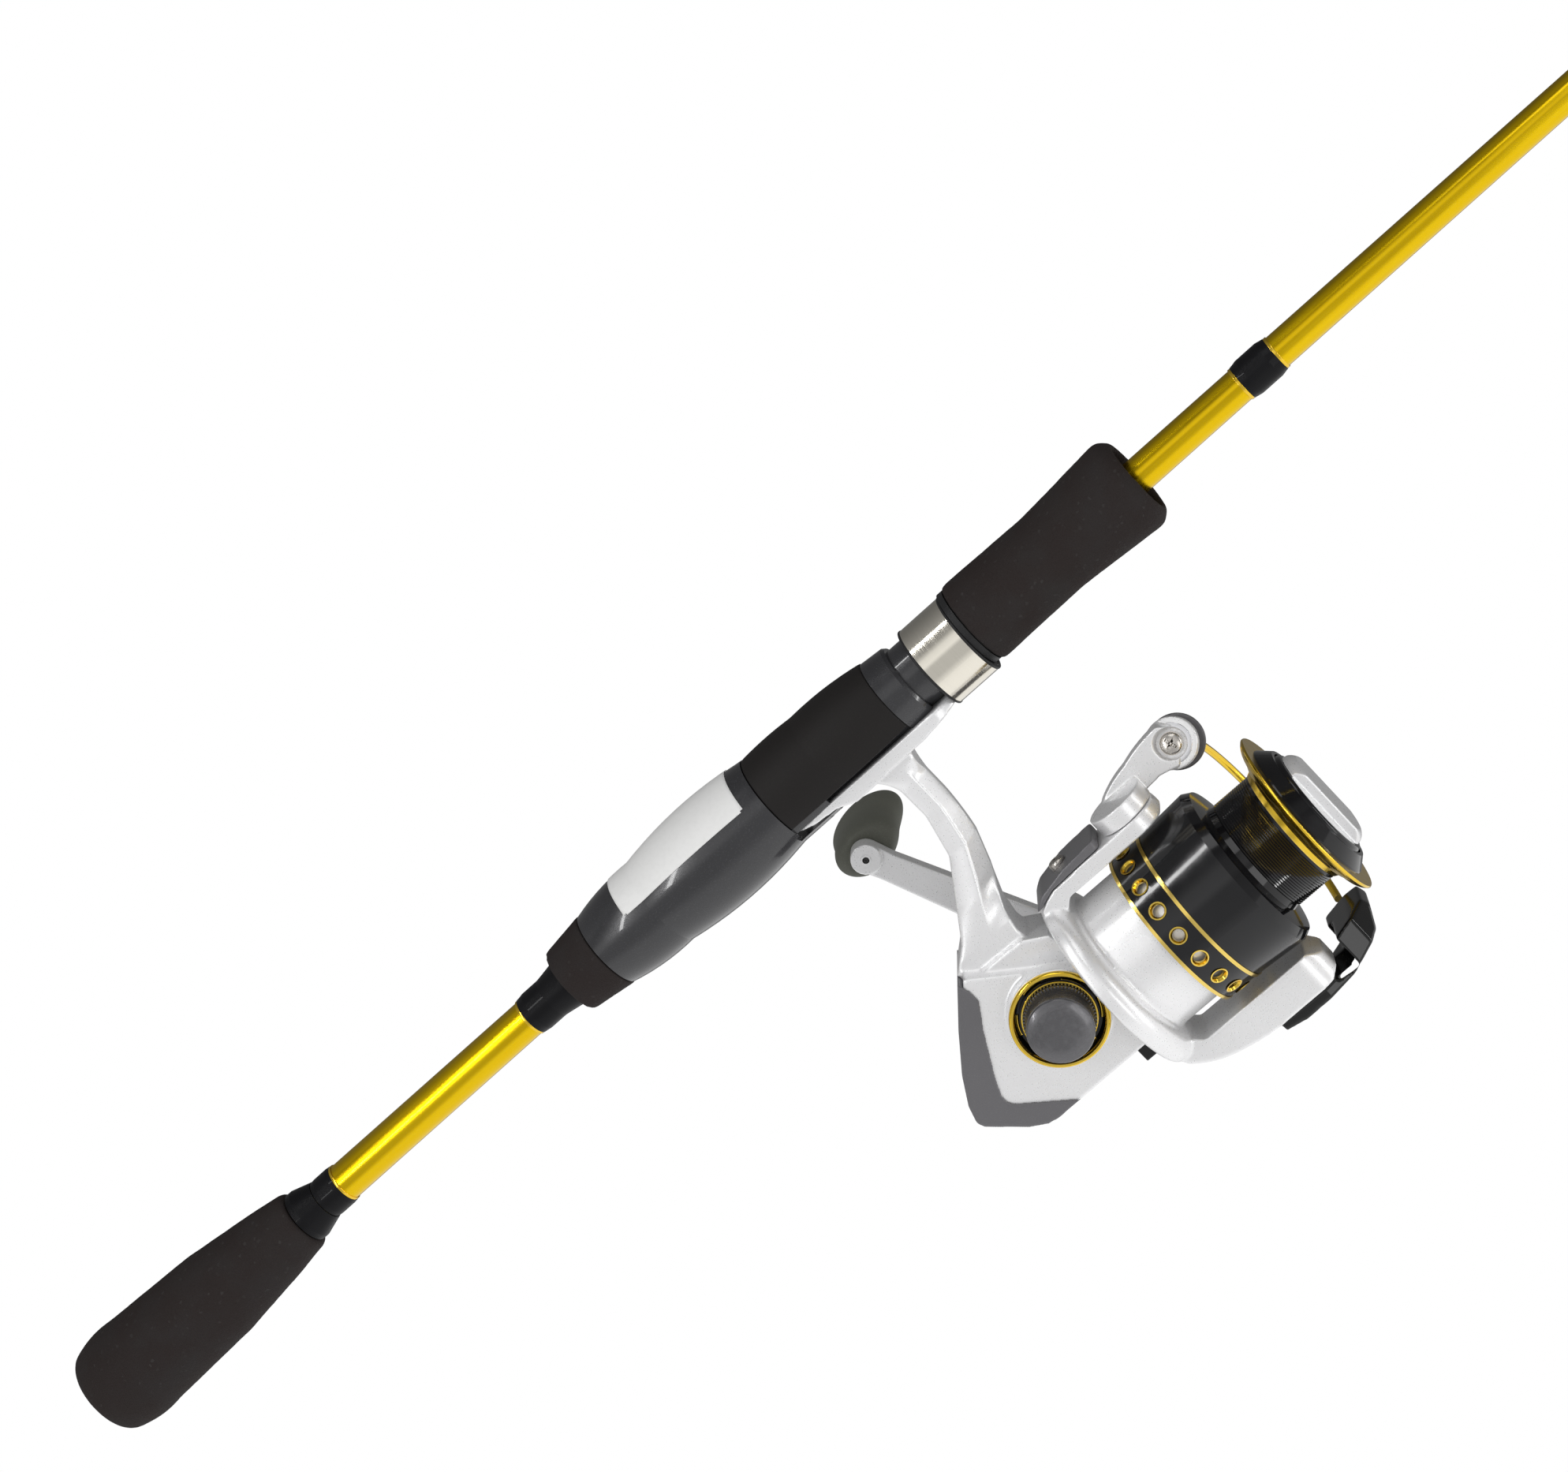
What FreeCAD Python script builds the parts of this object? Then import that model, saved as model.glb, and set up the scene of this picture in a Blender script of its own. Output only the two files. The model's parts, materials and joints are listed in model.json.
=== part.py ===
import math
import os

import FreeCAD
import Part
import Sketcher
from FreeCAD import Placement, Rotation, Vector

# Spinning rod and reel. Row frame, millimetres: +X runs along the rod towards its tip, +Z is up with
# the reel hanging below the rod, +Y is the angler's left, where the reel handle is. The origin is on
# the rod's axis above the middle of the reel foot, where the hand holds it.

doc = FreeCAD.newDocument("rod_and_reel")
sheet = doc.addObject("Spreadsheet::Sheet", "Dims")
next_row = [1]
nodes = []


class Size:
    """A length that carries its value and the sheet expression it is bound by."""

    def __init__(self, value, text):
        self.value = float(value)
        self.text = text

    def joined(self, sign, other, value, flip=False):
        text = other.text if isinstance(other, Size) else f"{other:g}"
        left, right = (text, self.text) if flip else (self.text, text)
        return Size(value, f"({left} {sign} {right})")

    def __add__(self, other):
        return self.joined("+", other, self.value + number(other))

    def __sub__(self, other):
        return self.joined("-", other, self.value - number(other))

    def __rsub__(self, other):
        return self.joined("-", other, number(other) - self.value, flip=True)

    def __mul__(self, other):
        return self.joined("*", other, self.value * number(other))

    def __neg__(self):
        return Size(-self.value, f"(0 - {self.text})")

    __radd__ = __add__
    __rmul__ = __mul__


def number(value):
    """The plain number of a size or of a number."""
    return value.value if isinstance(value, Size) else float(value)


def size(alias, value):
    """Write one driving dimension in the sheet and return it as a bound size."""
    cell = f"A{next_row[0]}"
    next_row[0] += 1
    sheet.set(cell, f"{value:g}")
    sheet.setAlias(cell, alias)
    return Size(value, f"Dims.{alias}")


def bind(thing, prop, value):
    """Set a property and bind it to the sheet when the value is a size."""
    setattr(thing, prop, number(value))
    if isinstance(value, Size):
        thing.setExpression(prop, value.text)


# Driving dimensions ------------------------------------------------------------------------------

butt_end = size("butt_end", -263.4)
rod_tip = size("rod_tip", 1870.2)
blank_base_radius = size("blank_base_radius", 5.24)
spigot_radius = size("spigot_radius", 2.48)
spigot_end = size("spigot_end", 801.0)
sleeve_start = size("sleeve_start", 741.0)
tip_radius = size("tip_radius", 0.85)
grip_radius = size("grip_radius", 13.15)
seat_radius = size("seat_radius", 12.7)
seat_waist = size("seat_waist", 9.6)
thread_radius = size("thread_radius", 8.45)
foregrip_radius = size("foregrip_radius", 12.6)
hood_radius = size("hood_radius", 11.1)
hood_drop = size("hood_drop", 1.1)
foot_top = size("foot_top", -8.0)
foot_width = size("foot_width", 16.0)

shaft_height = size("shaft_height", -88.5)
shaft_radius = size("shaft_radius", 1.8)
handle_place = size("handle_place", -13.3)
handle_height = size("handle_height", -82.5)
axle_radius = size("axle_radius", 3.6)
case_half = size("case_half", 12.8)
guard_half = size("guard_half", 13.3)
cover_inner = size("cover_inner", 9.5)
leg_half = size("leg_half", 7.0)
shoulder_half = size("shoulder_half", 9.2)

handle_reach = size("handle_reach", 51.5)
arm_near = size("arm_near", 42.0)
arm_far = size("arm_far", 47.5)
handle_lean = 24.0

face_gear_teeth = 40
pinion_teeth = 8
pinion_sleeve = size("pinion_sleeve", 3.0)
gear_module = 0.8
small_gear_teeth = 11
large_gear_teeth = 26
slide_throw = size("slide_throw", 6.5)

cup_radius = size("cup_radius", 19.5)
rotor_radius = size("rotor_radius", 26.0)
arm_inside = size("arm_inside", 24.3)
bail_pivot = size("bail_pivot", 29.5)
roller_place = size("roller_place", 48.0)
roller_rise = size("roller_rise", 33.0)
roller_side = size("roller_side", 6.5)
roller_lean = 18.0
wire_radius = size("wire_radius", 1.0)

skirt_rear = size("skirt_rear", 17.7)
skirt_front = size("skirt_front", 42.1)
skirt_radius = size("skirt_radius", 22.8)
arbor_radius = size("arbor_radius", 15.7)
lip_rear = size("lip_rear", 56.5)
lip_radius = size("lip_radius", 23.1)
knob_radius = size("knob_radius", 15.0)
knob_front = size("knob_front", 68.4)
hole_count = 18

running_fit = 0.06

AXIS_TURN = {
    "X": Rotation(),
    "Y": Rotation(Vector(0, 0, 1), 90),
    "Z": Rotation(Vector(0, 1, 0), -90),
}
SHAFT_AT = Vector(0, 0, shaft_height.value)
HANDLE_AT = Vector(handle_place.value, 0, handle_height.value)
CENTRE_DISTANCE = gear_module * (small_gear_teeth + large_gear_teeth) / 2
OSCILLATION_PLACE = handle_place.value - math.sqrt(
    CENTRE_DISTANCE ** 2 - (handle_height.value - shaft_height.value) ** 2)

# (x, z) corners of the rear guard's inner edge, and the places of the side cover's screws
GUARD_EDGE = [(-23.9, -102.7), (-36.7, -92.8), (-37.9, -91.1), (-37.8, -88.9), (-35.7, -84.4),
              (-29.9, -74), (-25.4, -67.4), (-25.3, -64.4)]
COVER_SCREWS = [(-34, -89.5), (-21.5, -68.2), (-6, -99)]

# (place along the rod, ring inner radius, height of the ring's centre below the blank)
STRIPPER_GUIDE = (687.0, 10.5, 28.0)
TIP_GUIDES = [(966.0, 6.5, 18.5), (1195.0, 4.8, 13.5), (1385.0, 3.9, 11.0), (1538.0, 3.2, 9.2),
              (1665.0, 2.7, 8.0), (1773.0, 2.4, 7.2)]


# Builders ----------------------------------------------------------------------------------------

def node(thing, label):
    """Name an object as one sub-part that is written to its own file."""
    thing.Label = label
    nodes.append(thing)
    return thing


def arc_between(start, end, radius):
    """The arc from start to end; a positive radius bulges to the left of the way from start to end."""
    chord = end.sub(start)
    half = chord.Length / 2
    rise = math.sqrt(max(radius * radius - half * half, 0.0))
    left = Vector(-chord.y, chord.x, 0).normalize()
    middle = start.add(chord.multiply(0.5))
    side = 1 if radius > 0 else -1
    crest = middle.add(left.multiply(side * (abs(radius) - rise)))
    return Part.Arc(end, crest, start) if radius > 0 else Part.Arc(start, crest, end)


def nearest_end(edge, corner):
    """Which end of a sketch edge lies at a corner: 1 is its start and 2 its end."""
    return 1 if edge.StartPoint.distanceToPoint(corner) < 1e-6 else 2


def outline_sketch(body, plane_name, outline, offset=0.0):
    """A closed outline on an origin plane: (a, b) is a corner, (a, b, radius) ends an arc there."""
    sketch = body.newObject("Sketcher::SketchObject", "Outline")
    plane = [item for item in body.Origin.OriginFeatures if item.Role == plane_name][0]
    sketch.AttachmentSupport = [(plane, "")]
    sketch.MapMode = "FlatFace"
    sketch.AttachmentOffset = Placement(Vector(0, 0, number(offset)), Rotation())
    count = len(outline)
    corners = [Vector(number(item[0]), number(item[1]), 0) for item in outline]
    for index, item in enumerate(outline):
        start = corners[index - 1]
        if len(item) == 3:
            sketch.addGeometry(arc_between(start, corners[index], number(item[2])))
        else:
            sketch.addGeometry(Part.LineSegment(start, corners[index]))
    for index, item in enumerate(outline):
        following = (index + 1) % count
        end_here = nearest_end(sketch.Geometry[index], corners[index])
        start_there = nearest_end(sketch.Geometry[following], corners[index])
        sketch.addConstraint(Sketcher.Constraint("Coincident", index, end_here, following, start_there))
        for kind, value, axis in (("DistanceX", item[0], -2), ("DistanceY", item[1], -1)):
            if number(value) == 0:
                sketch.addConstraint(Sketcher.Constraint("PointOnObject", index, end_here, axis))
                continue
            rule = Sketcher.Constraint(kind, -1, 1, index, end_here, number(value))
            place = sketch.addConstraint(rule)
            if isinstance(value, Size):
                sketch.setExpression(f"Constraints[{place}]", value.text)
        if len(item) == 3:
            place = sketch.addConstraint(Sketcher.Constraint("Radius", index, abs(number(item[2]))))
    return sketch


def turned(outline, at=Vector(), axis="X", name="Turned"):
    """A body turned about its X axis from (along, radius) corners, then laid along an axis."""
    body = doc.addObject("PartDesign::Body", name)
    sketch = outline_sketch(body, "XZ_Plane", outline)
    spin = body.newObject("PartDesign::Revolution", "Spin")
    spin.Profile = sketch
    spin.ReferenceAxis = (sketch, ["H_Axis"])
    spin.Angle = 360
    body.Placement = Placement(at, AXIS_TURN[axis])
    return body


def plate(outline, low, high, plane="XZ_Plane", at=Vector(), turn=Rotation(), name="Plate"):
    """A body padded from an outline: low and high are the two faces along the plane's normal.

    On XZ_Plane the corners are (x, z) and the faces are at y = low and y = high; on XY_Plane the
    corners are (x, y) and the faces are along z; on YZ_Plane they are (y, z) and along x.
    """
    body = doc.addObject("PartDesign::Body", name)
    start = -number(high) if plane == "XZ_Plane" else number(low)
    sketch = outline_sketch(body, plane, outline, start)
    pad = body.newObject("PartDesign::Pad", "Pad")
    pad.Profile = sketch
    bind(pad, "Length", Size(number(high) - number(low), span_text(low, high)))
    body.Placement = Placement(at, turn)
    return body


def span_text(low, high):
    """The sheet expression for the distance between two faces."""
    low_text = low.text if isinstance(low, Size) else f"{low:g}"
    high_text = high.text if isinstance(high, Size) else f"{high:g}"
    return f"({high_text} - ({low_text}))"


def box(low, high, turn=None):
    """A Part box between two corners; turn is an extra placement put in front of its own."""
    shape = doc.addObject("Part::Box", "Block")
    for prop, start, end in zip(("Length", "Width", "Height"), low, high):
        bind(shape, prop, Size(number(end) - number(start), span_text(start, end)))
    shape.Placement = Placement(Vector(*[number(item) for item in low]), Rotation())
    if turn:
        shape.Placement = turn.multiply(shape.Placement)
    return shape


def rod(radius, start, end, at=Vector(), axis="X", turn=None):
    """A Part cylinder along an axis through a point, from start to end along it."""
    shape = doc.addObject("Part::Cylinder", "Rod")
    bind(shape, "Radius", radius)
    bind(shape, "Height", Size(number(end) - number(start), span_text(start, end)))
    lay = {"X": Rotation(Vector(0, 1, 0), 90), "Y": Rotation(Vector(1, 0, 0), -90), "Z": Rotation()}
    along = {"X": Vector(1, 0, 0), "Y": Vector(0, 1, 0), "Z": Vector(0, 0, 1)}[axis]
    shape.Placement = Placement(at.add(along.multiply(number(start))), lay[axis])
    if turn:
        shape.Placement = turn.multiply(shape.Placement)
    return shape


def strut(radius, start, end):
    """A Part cylinder from one point to another."""
    shape = doc.addObject("Part::Cylinder", "Strut")
    way = end.sub(start)
    bind(shape, "Radius", radius)
    shape.Height = way.Length
    shape.Placement = Placement(start, Rotation(Vector(0, 0, 1), way))
    return shape


def fuse(*shapes):
    joined = doc.addObject("Part::MultiFuse", "Fuse")
    joined.Shapes = list(shapes)
    return joined


def cut(base, *tools):
    taken = doc.addObject("Part::Cut", "Cut")
    taken.Base = base
    taken.Tool = tools[0] if len(tools) == 1 else fuse(*tools)
    return taken


def common(*shapes):
    shared = doc.addObject("Part::MultiCommon", "Common")
    shared.Shapes = list(shapes)
    return shared


def group(*shapes):
    """Several equal solids kept as one sub-part."""
    bundle = doc.addObject("Part::Compound", "Group")
    bundle.Links = list(shapes)
    return bundle


def ring(outer, inner, start, end, at=Vector(), axis="X"):
    """A plain turned ring."""
    return turned([(start, inner), (start, outer), (end, outer), (end, inner)], at, axis, "Ring")


def at_shaft(points):
    """Corners given as (x, offset from the main shaft) moved to the row's heights."""
    return [(item[0], shaft_height + item[1], *item[2:]) for item in points]


def toothed(core, tooth_root, tooth_tip, root_width, tip_width, low, high, teeth, phase, at, axis):
    """A spur gear: a turned core with one padded tooth repeated round it."""
    body = turned(core, at, axis, "Gear")
    half_root, half_tip = root_width / 2, tip_width / 2
    corners = [(-half_root, tooth_root), (-half_tip, tooth_tip), (half_tip, tooth_tip),
               (half_root, tooth_root)]
    turn = math.radians(phase)
    spun = [(a * math.cos(turn) - b * math.sin(turn), a * math.sin(turn) + b * math.cos(turn))
            for a, b in corners]
    sketch = outline_sketch(body, "YZ_Plane", spun, low)
    tooth = body.newObject("PartDesign::Pad", "Tooth")
    tooth.Profile = sketch
    tooth.Length = high - low
    doc.recompute()
    pattern = body.newObject("PartDesign::PolarPattern", "Teeth")
    pattern.Originals = [tooth]
    line = [item for item in body.Origin.OriginFeatures if item.Role == "X_Axis"][0]
    pattern.Axis = (line, [""])
    pattern.Angle = 360
    pattern.Occurrences = teeth
    body.Tip = pattern
    return body


# Rod ---------------------------------------------------------------------------------------------

def blank_radius(place):
    """The butt section's outer radius at a place along the rod."""
    start, end = butt_end.value + 4, spigot_end.value
    share = (place - start) / (end - start)
    return blank_base_radius.value + (spigot_radius.value - blank_base_radius.value) * share


def butt_section():
    wall = 0.9
    start = butt_end + 4
    blank = turned([(start, blank_base_radius - wall), (start, blank_base_radius),
                    (spigot_end, spigot_radius), (spigot_end, spigot_radius - wall)])
    node(blank, "blank_butt")
    grip_bore = 5.3
    grip = turned([
        (butt_end, 0), (butt_end, 9.4), (butt_end + 3.6, 12.4, 4.0), (butt_end + 15, grip_radius, 26),
        (-222, 12.1), (-202, 9.75), (-194, 8.5), (-191.2, 7.6, 4), (-191.2, grip_bore),
        (start - 0.3, grip_bore), (start - 0.3, 0)])
    node(grip, "butt_grip")
    node(turned([(-191, 5.1), (-191, 7.1), (-189.4, 7.1), (-184, 5.5), (-184, 5.1)]), "butt_check")
    wraps = [
        turned([(-183.9, 5.05), (-183.9, 5.35), (-182.6, 5.5), (-178.6, 5.5), (-177.5, 5.35),
                (-177.5, 5.05)]),
        turned([(-112, 4.87), (-112, 5.2), (-110, 5.5), (-105, 5.5), (-98.6, 6.6), (-98.6, 4.87)]),
        turned([(119, 4.26), (119, 4.55), (121, 4.95), (127, 4.95), (129, 4.55), (129, 4.26)])]
    node(group(*wraps), "blank_wraps")
    node(turned([(-98.4, 4.9), (-98.4, 9.0), (-86.2, 10.6), (-86.2, 4.9)]), "rear_grip")


def seat():
    """The reel seat: a barrel, a flat under it for the foot, a fixed rear hood and a plain thread."""
    bore = 4.86
    pad_rear, pad_front = -30.0, 7.6
    barrel = turned([
        (-86, bore), (-86, 10.5), (-68, 12.2, 60), (-33, seat_radius, 110), (pad_rear, seat_radius - 0.4),
        (pad_rear, seat_waist), (pad_front, seat_waist), (pad_front, 10.4), (13.6, 9.9), (14.4, 9.3),
        (14.4, thread_radius), (80, thread_radius), (80, bore)])
    hood = common(rod(10.3, -33, -19, Vector(0, 0, -2.2)), box((-33, -11, -12.5), (-19, 11, -6.55)))
    pocket = box((-31, -8.3, foot_top - 2.9), (-18.9, 8.3, foot_top + 0.05))
    bed = box((-22, -14, -16), (32.3, 14, foot_top + 0.05))
    keep = box((-22, -14, -16), (-19, 14, foot_top + 0.05))
    inner = cut(keep, rod(10.2, -23, -18, Vector(0, 0, -2.2)))
    body = cut(fuse(barrel, hood), cut(bed, keep), inner, pocket, rod(bore, -34, -18))
    node(body, "reel_seat")
    pad_ring = turned([(pad_rear + 0.05, seat_waist + 0.02), (pad_rear + 0.05, 12.2), (-14, 12.1, 90),
                       (pad_front - 0.05, 10.6, 90), (pad_front - 0.05, seat_waist + 0.02)])
    node(cut(pad_ring, box((-40, -14, -16), (20, 14, -6.5))), "seat_pad")


def hoods():
    """The sliding hood and the foregrip that turns on the seat's thread and drives it."""
    rear, front = 19.5, 32.2
    centre = Vector(0, 0, -hood_drop.value)
    shell = ring(hood_radius, hood_radius - 0.9, rear, front, centre)
    node(shell, "hood_shell")
    core = cut(rod(hood_radius - 0.92, rear + 0.4, front - 0.1, centre),
               rod(thread_radius + running_fit, rear, front),
               box((rear, -5.5, foot_top - 1.65), (front - 0.5, 5.5, foot_top + 0.3)))
    node(core, "hood_core")
    nut = turned([(32.4, thread_radius + running_fit), (32.4, 10.6), (34, 10.6), (34, 9.8), (50, 9.8),
                  (50, thread_radius + running_fit)])
    node(nut, "foregrip_nut")
    foregrip = turned([
        (34.1, 9.85), (34.1, 10.9), (35.2, 11.25, 1.6), (59.5, 10.8), (84, foregrip_radius),
        (86.7, 10.2), (86.7, thread_radius + 0.25), (50.2, thread_radius + 0.25), (50.2, 9.85)])
    node(foregrip, "foregrip")


def guide(place, inner, drop, radius_at):
    """One line guide: a frame of ring, three legs and two feet, its ring insert, and two wraps."""
    ring_at = Vector(0, 0, -drop)
    insert_wall, frame_wall, depth = 0.9, 0.8, 1.4 + inner * 0.08
    seat_r = inner + insert_wall
    land = depth / 4
    insert = turned([(place - depth / 2, inner + 0.3), (place - land, inner), (place + land, inner),
                     (place + depth / 2, inner + 0.3), (place + depth / 2, seat_r),
                     (place - depth / 2, seat_r)], ring_at)
    holder = ring(seat_r + frame_wall, seat_r + 0.01, place - depth / 2, place + depth / 2, ring_at)
    foot_long = 9.0 + inner * 0.9
    reach = 5.0 + inner * 1.5
    leg = 0.55 + inner * 0.03
    feet = []
    legs = []
    rim = seat_r + frame_wall / 2
    for way in (-1, 1):
        near = place + way * reach
        far = near + way * foot_long
        blank = radius_at(min(near, far) - 3)
        top = -blank - 0.4
        half = min(1.1, 0.42 * blank)
        foot = box((min(near, far), -half, top - 0.45), (max(near, far), half, top + 0.3))
        feet.append(foot)
        start = Vector(near + way * 0.5, 0, top - 0.1)
        if way < 0:
            side = math.radians(52)
            ends = [Vector(place, rim * math.sin(s * side), -drop + rim * math.cos(side))
                    for s in (-1, 1)]
        else:
            ends = [Vector(place, 0, -drop + rim)]
        legs.extend(strut(leg, start, end) for end in ends)
    bodies = fuse(holder, *legs, *feet)
    clear = rod(seat_r + 0.01, place - 4, place + 4, ring_at)
    frame_part = cut(bodies, clear)
    wraps = []
    for way in (-1, 1):
        near = place + way * (reach + 1.2)
        far = place + way * (reach + foot_long + 2.5)
        low, high = min(near, far), max(near, far)
        blank = radius_at(low)
        top = -blank - 0.4
        half = min(1.1, 0.42 * blank) + 0.06
        outer = blank + 1.6
        skin = turned([(low, blank + 0.05), (low, blank + 0.3), (low + 2, outer - 0.3, 9),
                       (high - 2, outer - 0.3), (high, blank + 0.3, 9), (high, blank + 0.05)])
        inner_end = 1.0
        outer_end = -2.4
        room_low, room_high = (inner_end, outer_end) if way > 0 else (outer_end, inner_end)
        foot_room = box((low - room_low, -half, top - 0.55), (high + room_high, half, top + 0.4))
        wraps.append(cut(skin, foot_room))
    return frame_part, insert, wraps


def tip_blank_radius(place):
    """The tip section's outer radius past its sleeve."""
    start, end = spigot_end.value + 40, rod_tip.value - 12
    share = (place - start) / (end - start)
    return 2.5 + (tip_radius.value - 2.5) * share


def guides():
    frame_part, insert, wraps = guide(*STRIPPER_GUIDE, blank_radius)
    node(frame_part, "guide_frame_butt")
    node(insert, "guide_ring_butt")
    node(group(*wraps), "guide_wraps_butt")
    frames, inserts, all_wraps = [], [], []
    for place, inner, drop in TIP_GUIDES:
        frame_part, insert, wraps = guide(place, inner, drop, tip_blank_radius)
        frames.append(frame_part)
        inserts.append(insert)
        all_wraps.extend(wraps)
    ferrule_wrap, tip_top_insert = tip_section()
    node(group(*frames), "guide_frames_tip")
    node(group(*inserts, tip_top_insert), "guide_rings_tip")
    node(group(*all_wraps, ferrule_wrap), "guide_wraps_tip")


def tip_section():
    """The tip section: its sleeve slides over the butt section's spigot."""
    gap, wall = 0.04, 0.85
    sleeve_bore = blank_radius(sleeve_start.value) + gap
    end_bore = blank_radius(spigot_end.value + 1) + gap
    shoulder = spigot_end + 40
    blank_end = rod_tip - 12
    blank = turned([
        (sleeve_start, sleeve_bore), (sleeve_start, sleeve_bore + wall),
        (spigot_end + 1, end_bore + wall), (shoulder, 2.5), (blank_end, tip_radius),
        (blank_end, 0), (spigot_end + 20, 0), (spigot_end + 16, 1.6), (spigot_end + 1, end_bore)])
    node(blank, "blank_tip")
    outer = sleeve_bore + wall
    wrap = turned([(sleeve_start + 0.5, outer + 0.03), (sleeve_start + 0.5, outer + 0.25),
                   (sleeve_start + 2.5, outer + 0.42, 9), (sleeve_start + 10.5, outer + 0.42),
                   (sleeve_start + 12.5, outer + 0.25, 9), (sleeve_start + 12.5, outer + 0.03)])
    ring_inner, seat_r = 2.4, 3.3
    ring_at = Vector(0, 0, -5.4)
    place = rod_tip.value - 1.2
    tube = turned([(blank_end - 11, tip_radius + 0.12), (blank_end - 11, tip_radius + 0.62),
                   (blank_end + 1.2, tip_radius + 0.62), (blank_end + 1.2, 0), (blank_end + 0.1, 0),
                   (blank_end + 0.1, tip_radius + 0.12)])
    holder = ring(seat_r + 0.7, seat_r + 0.01, place - 0.7, place + 0.7, ring_at)
    struts = [strut(0.5, Vector(blank_end.value + 0.6, 0, -0.3), Vector(place, 0, -5.4 + 3.65))]
    for way in (-1, 1):
        struts.append(strut(0.45, Vector(blank_end.value - 6, 0, -1.0), Vector(place, way * 3.4, -6.9)))
    tip_frame = cut(fuse(tube, holder, *struts), rod(seat_r + 0.01, place - 4, place + 4, ring_at),
                    rod(tip_radius + 0.12, blank_end - 12, blank_end + 0.1))
    node(tip_frame, "tip_top_frame")
    insert = turned([(place - 0.7, ring_inner + 0.25), (place - 0.4, ring_inner),
                     (place + 0.4, ring_inner), (place + 0.7, ring_inner + 0.25),
                     (place + 0.7, seat_r), (place - 0.7, seat_r)], ring_at)
    return wrap, insert


# Reel body ---------------------------------------------------------------------------------------

def rear_edge(shift):
    """The rear outline of the reel case from its top down, moved forward by shift."""
    corners = [(-26.7, -61), (-34.5, -69.9), (-41.6, -78.9), (-45.8, -85.8), (-47.2, -90.3),
               (-46.4, -92.3), (-38.4, -99.6), (-34.5, -102), (-31.2, -102.7)]
    return [(x + shift, z) for x, z in corners]


def case_outline(inset, front=-0.5):
    """The flat side of the case: straight bottom, slanted shoulder, rear edge inside the guard."""
    shift = 1.8 + inset * 1.5
    rear = [(x, max(z, -102.7 + inset)) for x, z in rear_edge(shift)]
    rear[0] = (rear[0][0], rear[0][1] - inset * 1.4)
    top = [(-21.7, -63.4 - inset * 1.5), (-4.2, -75.8 - inset * 1.2), (front, -77 - inset)]
    return rear + [(front, -102.7 + inset)] + top[::-1]


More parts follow.
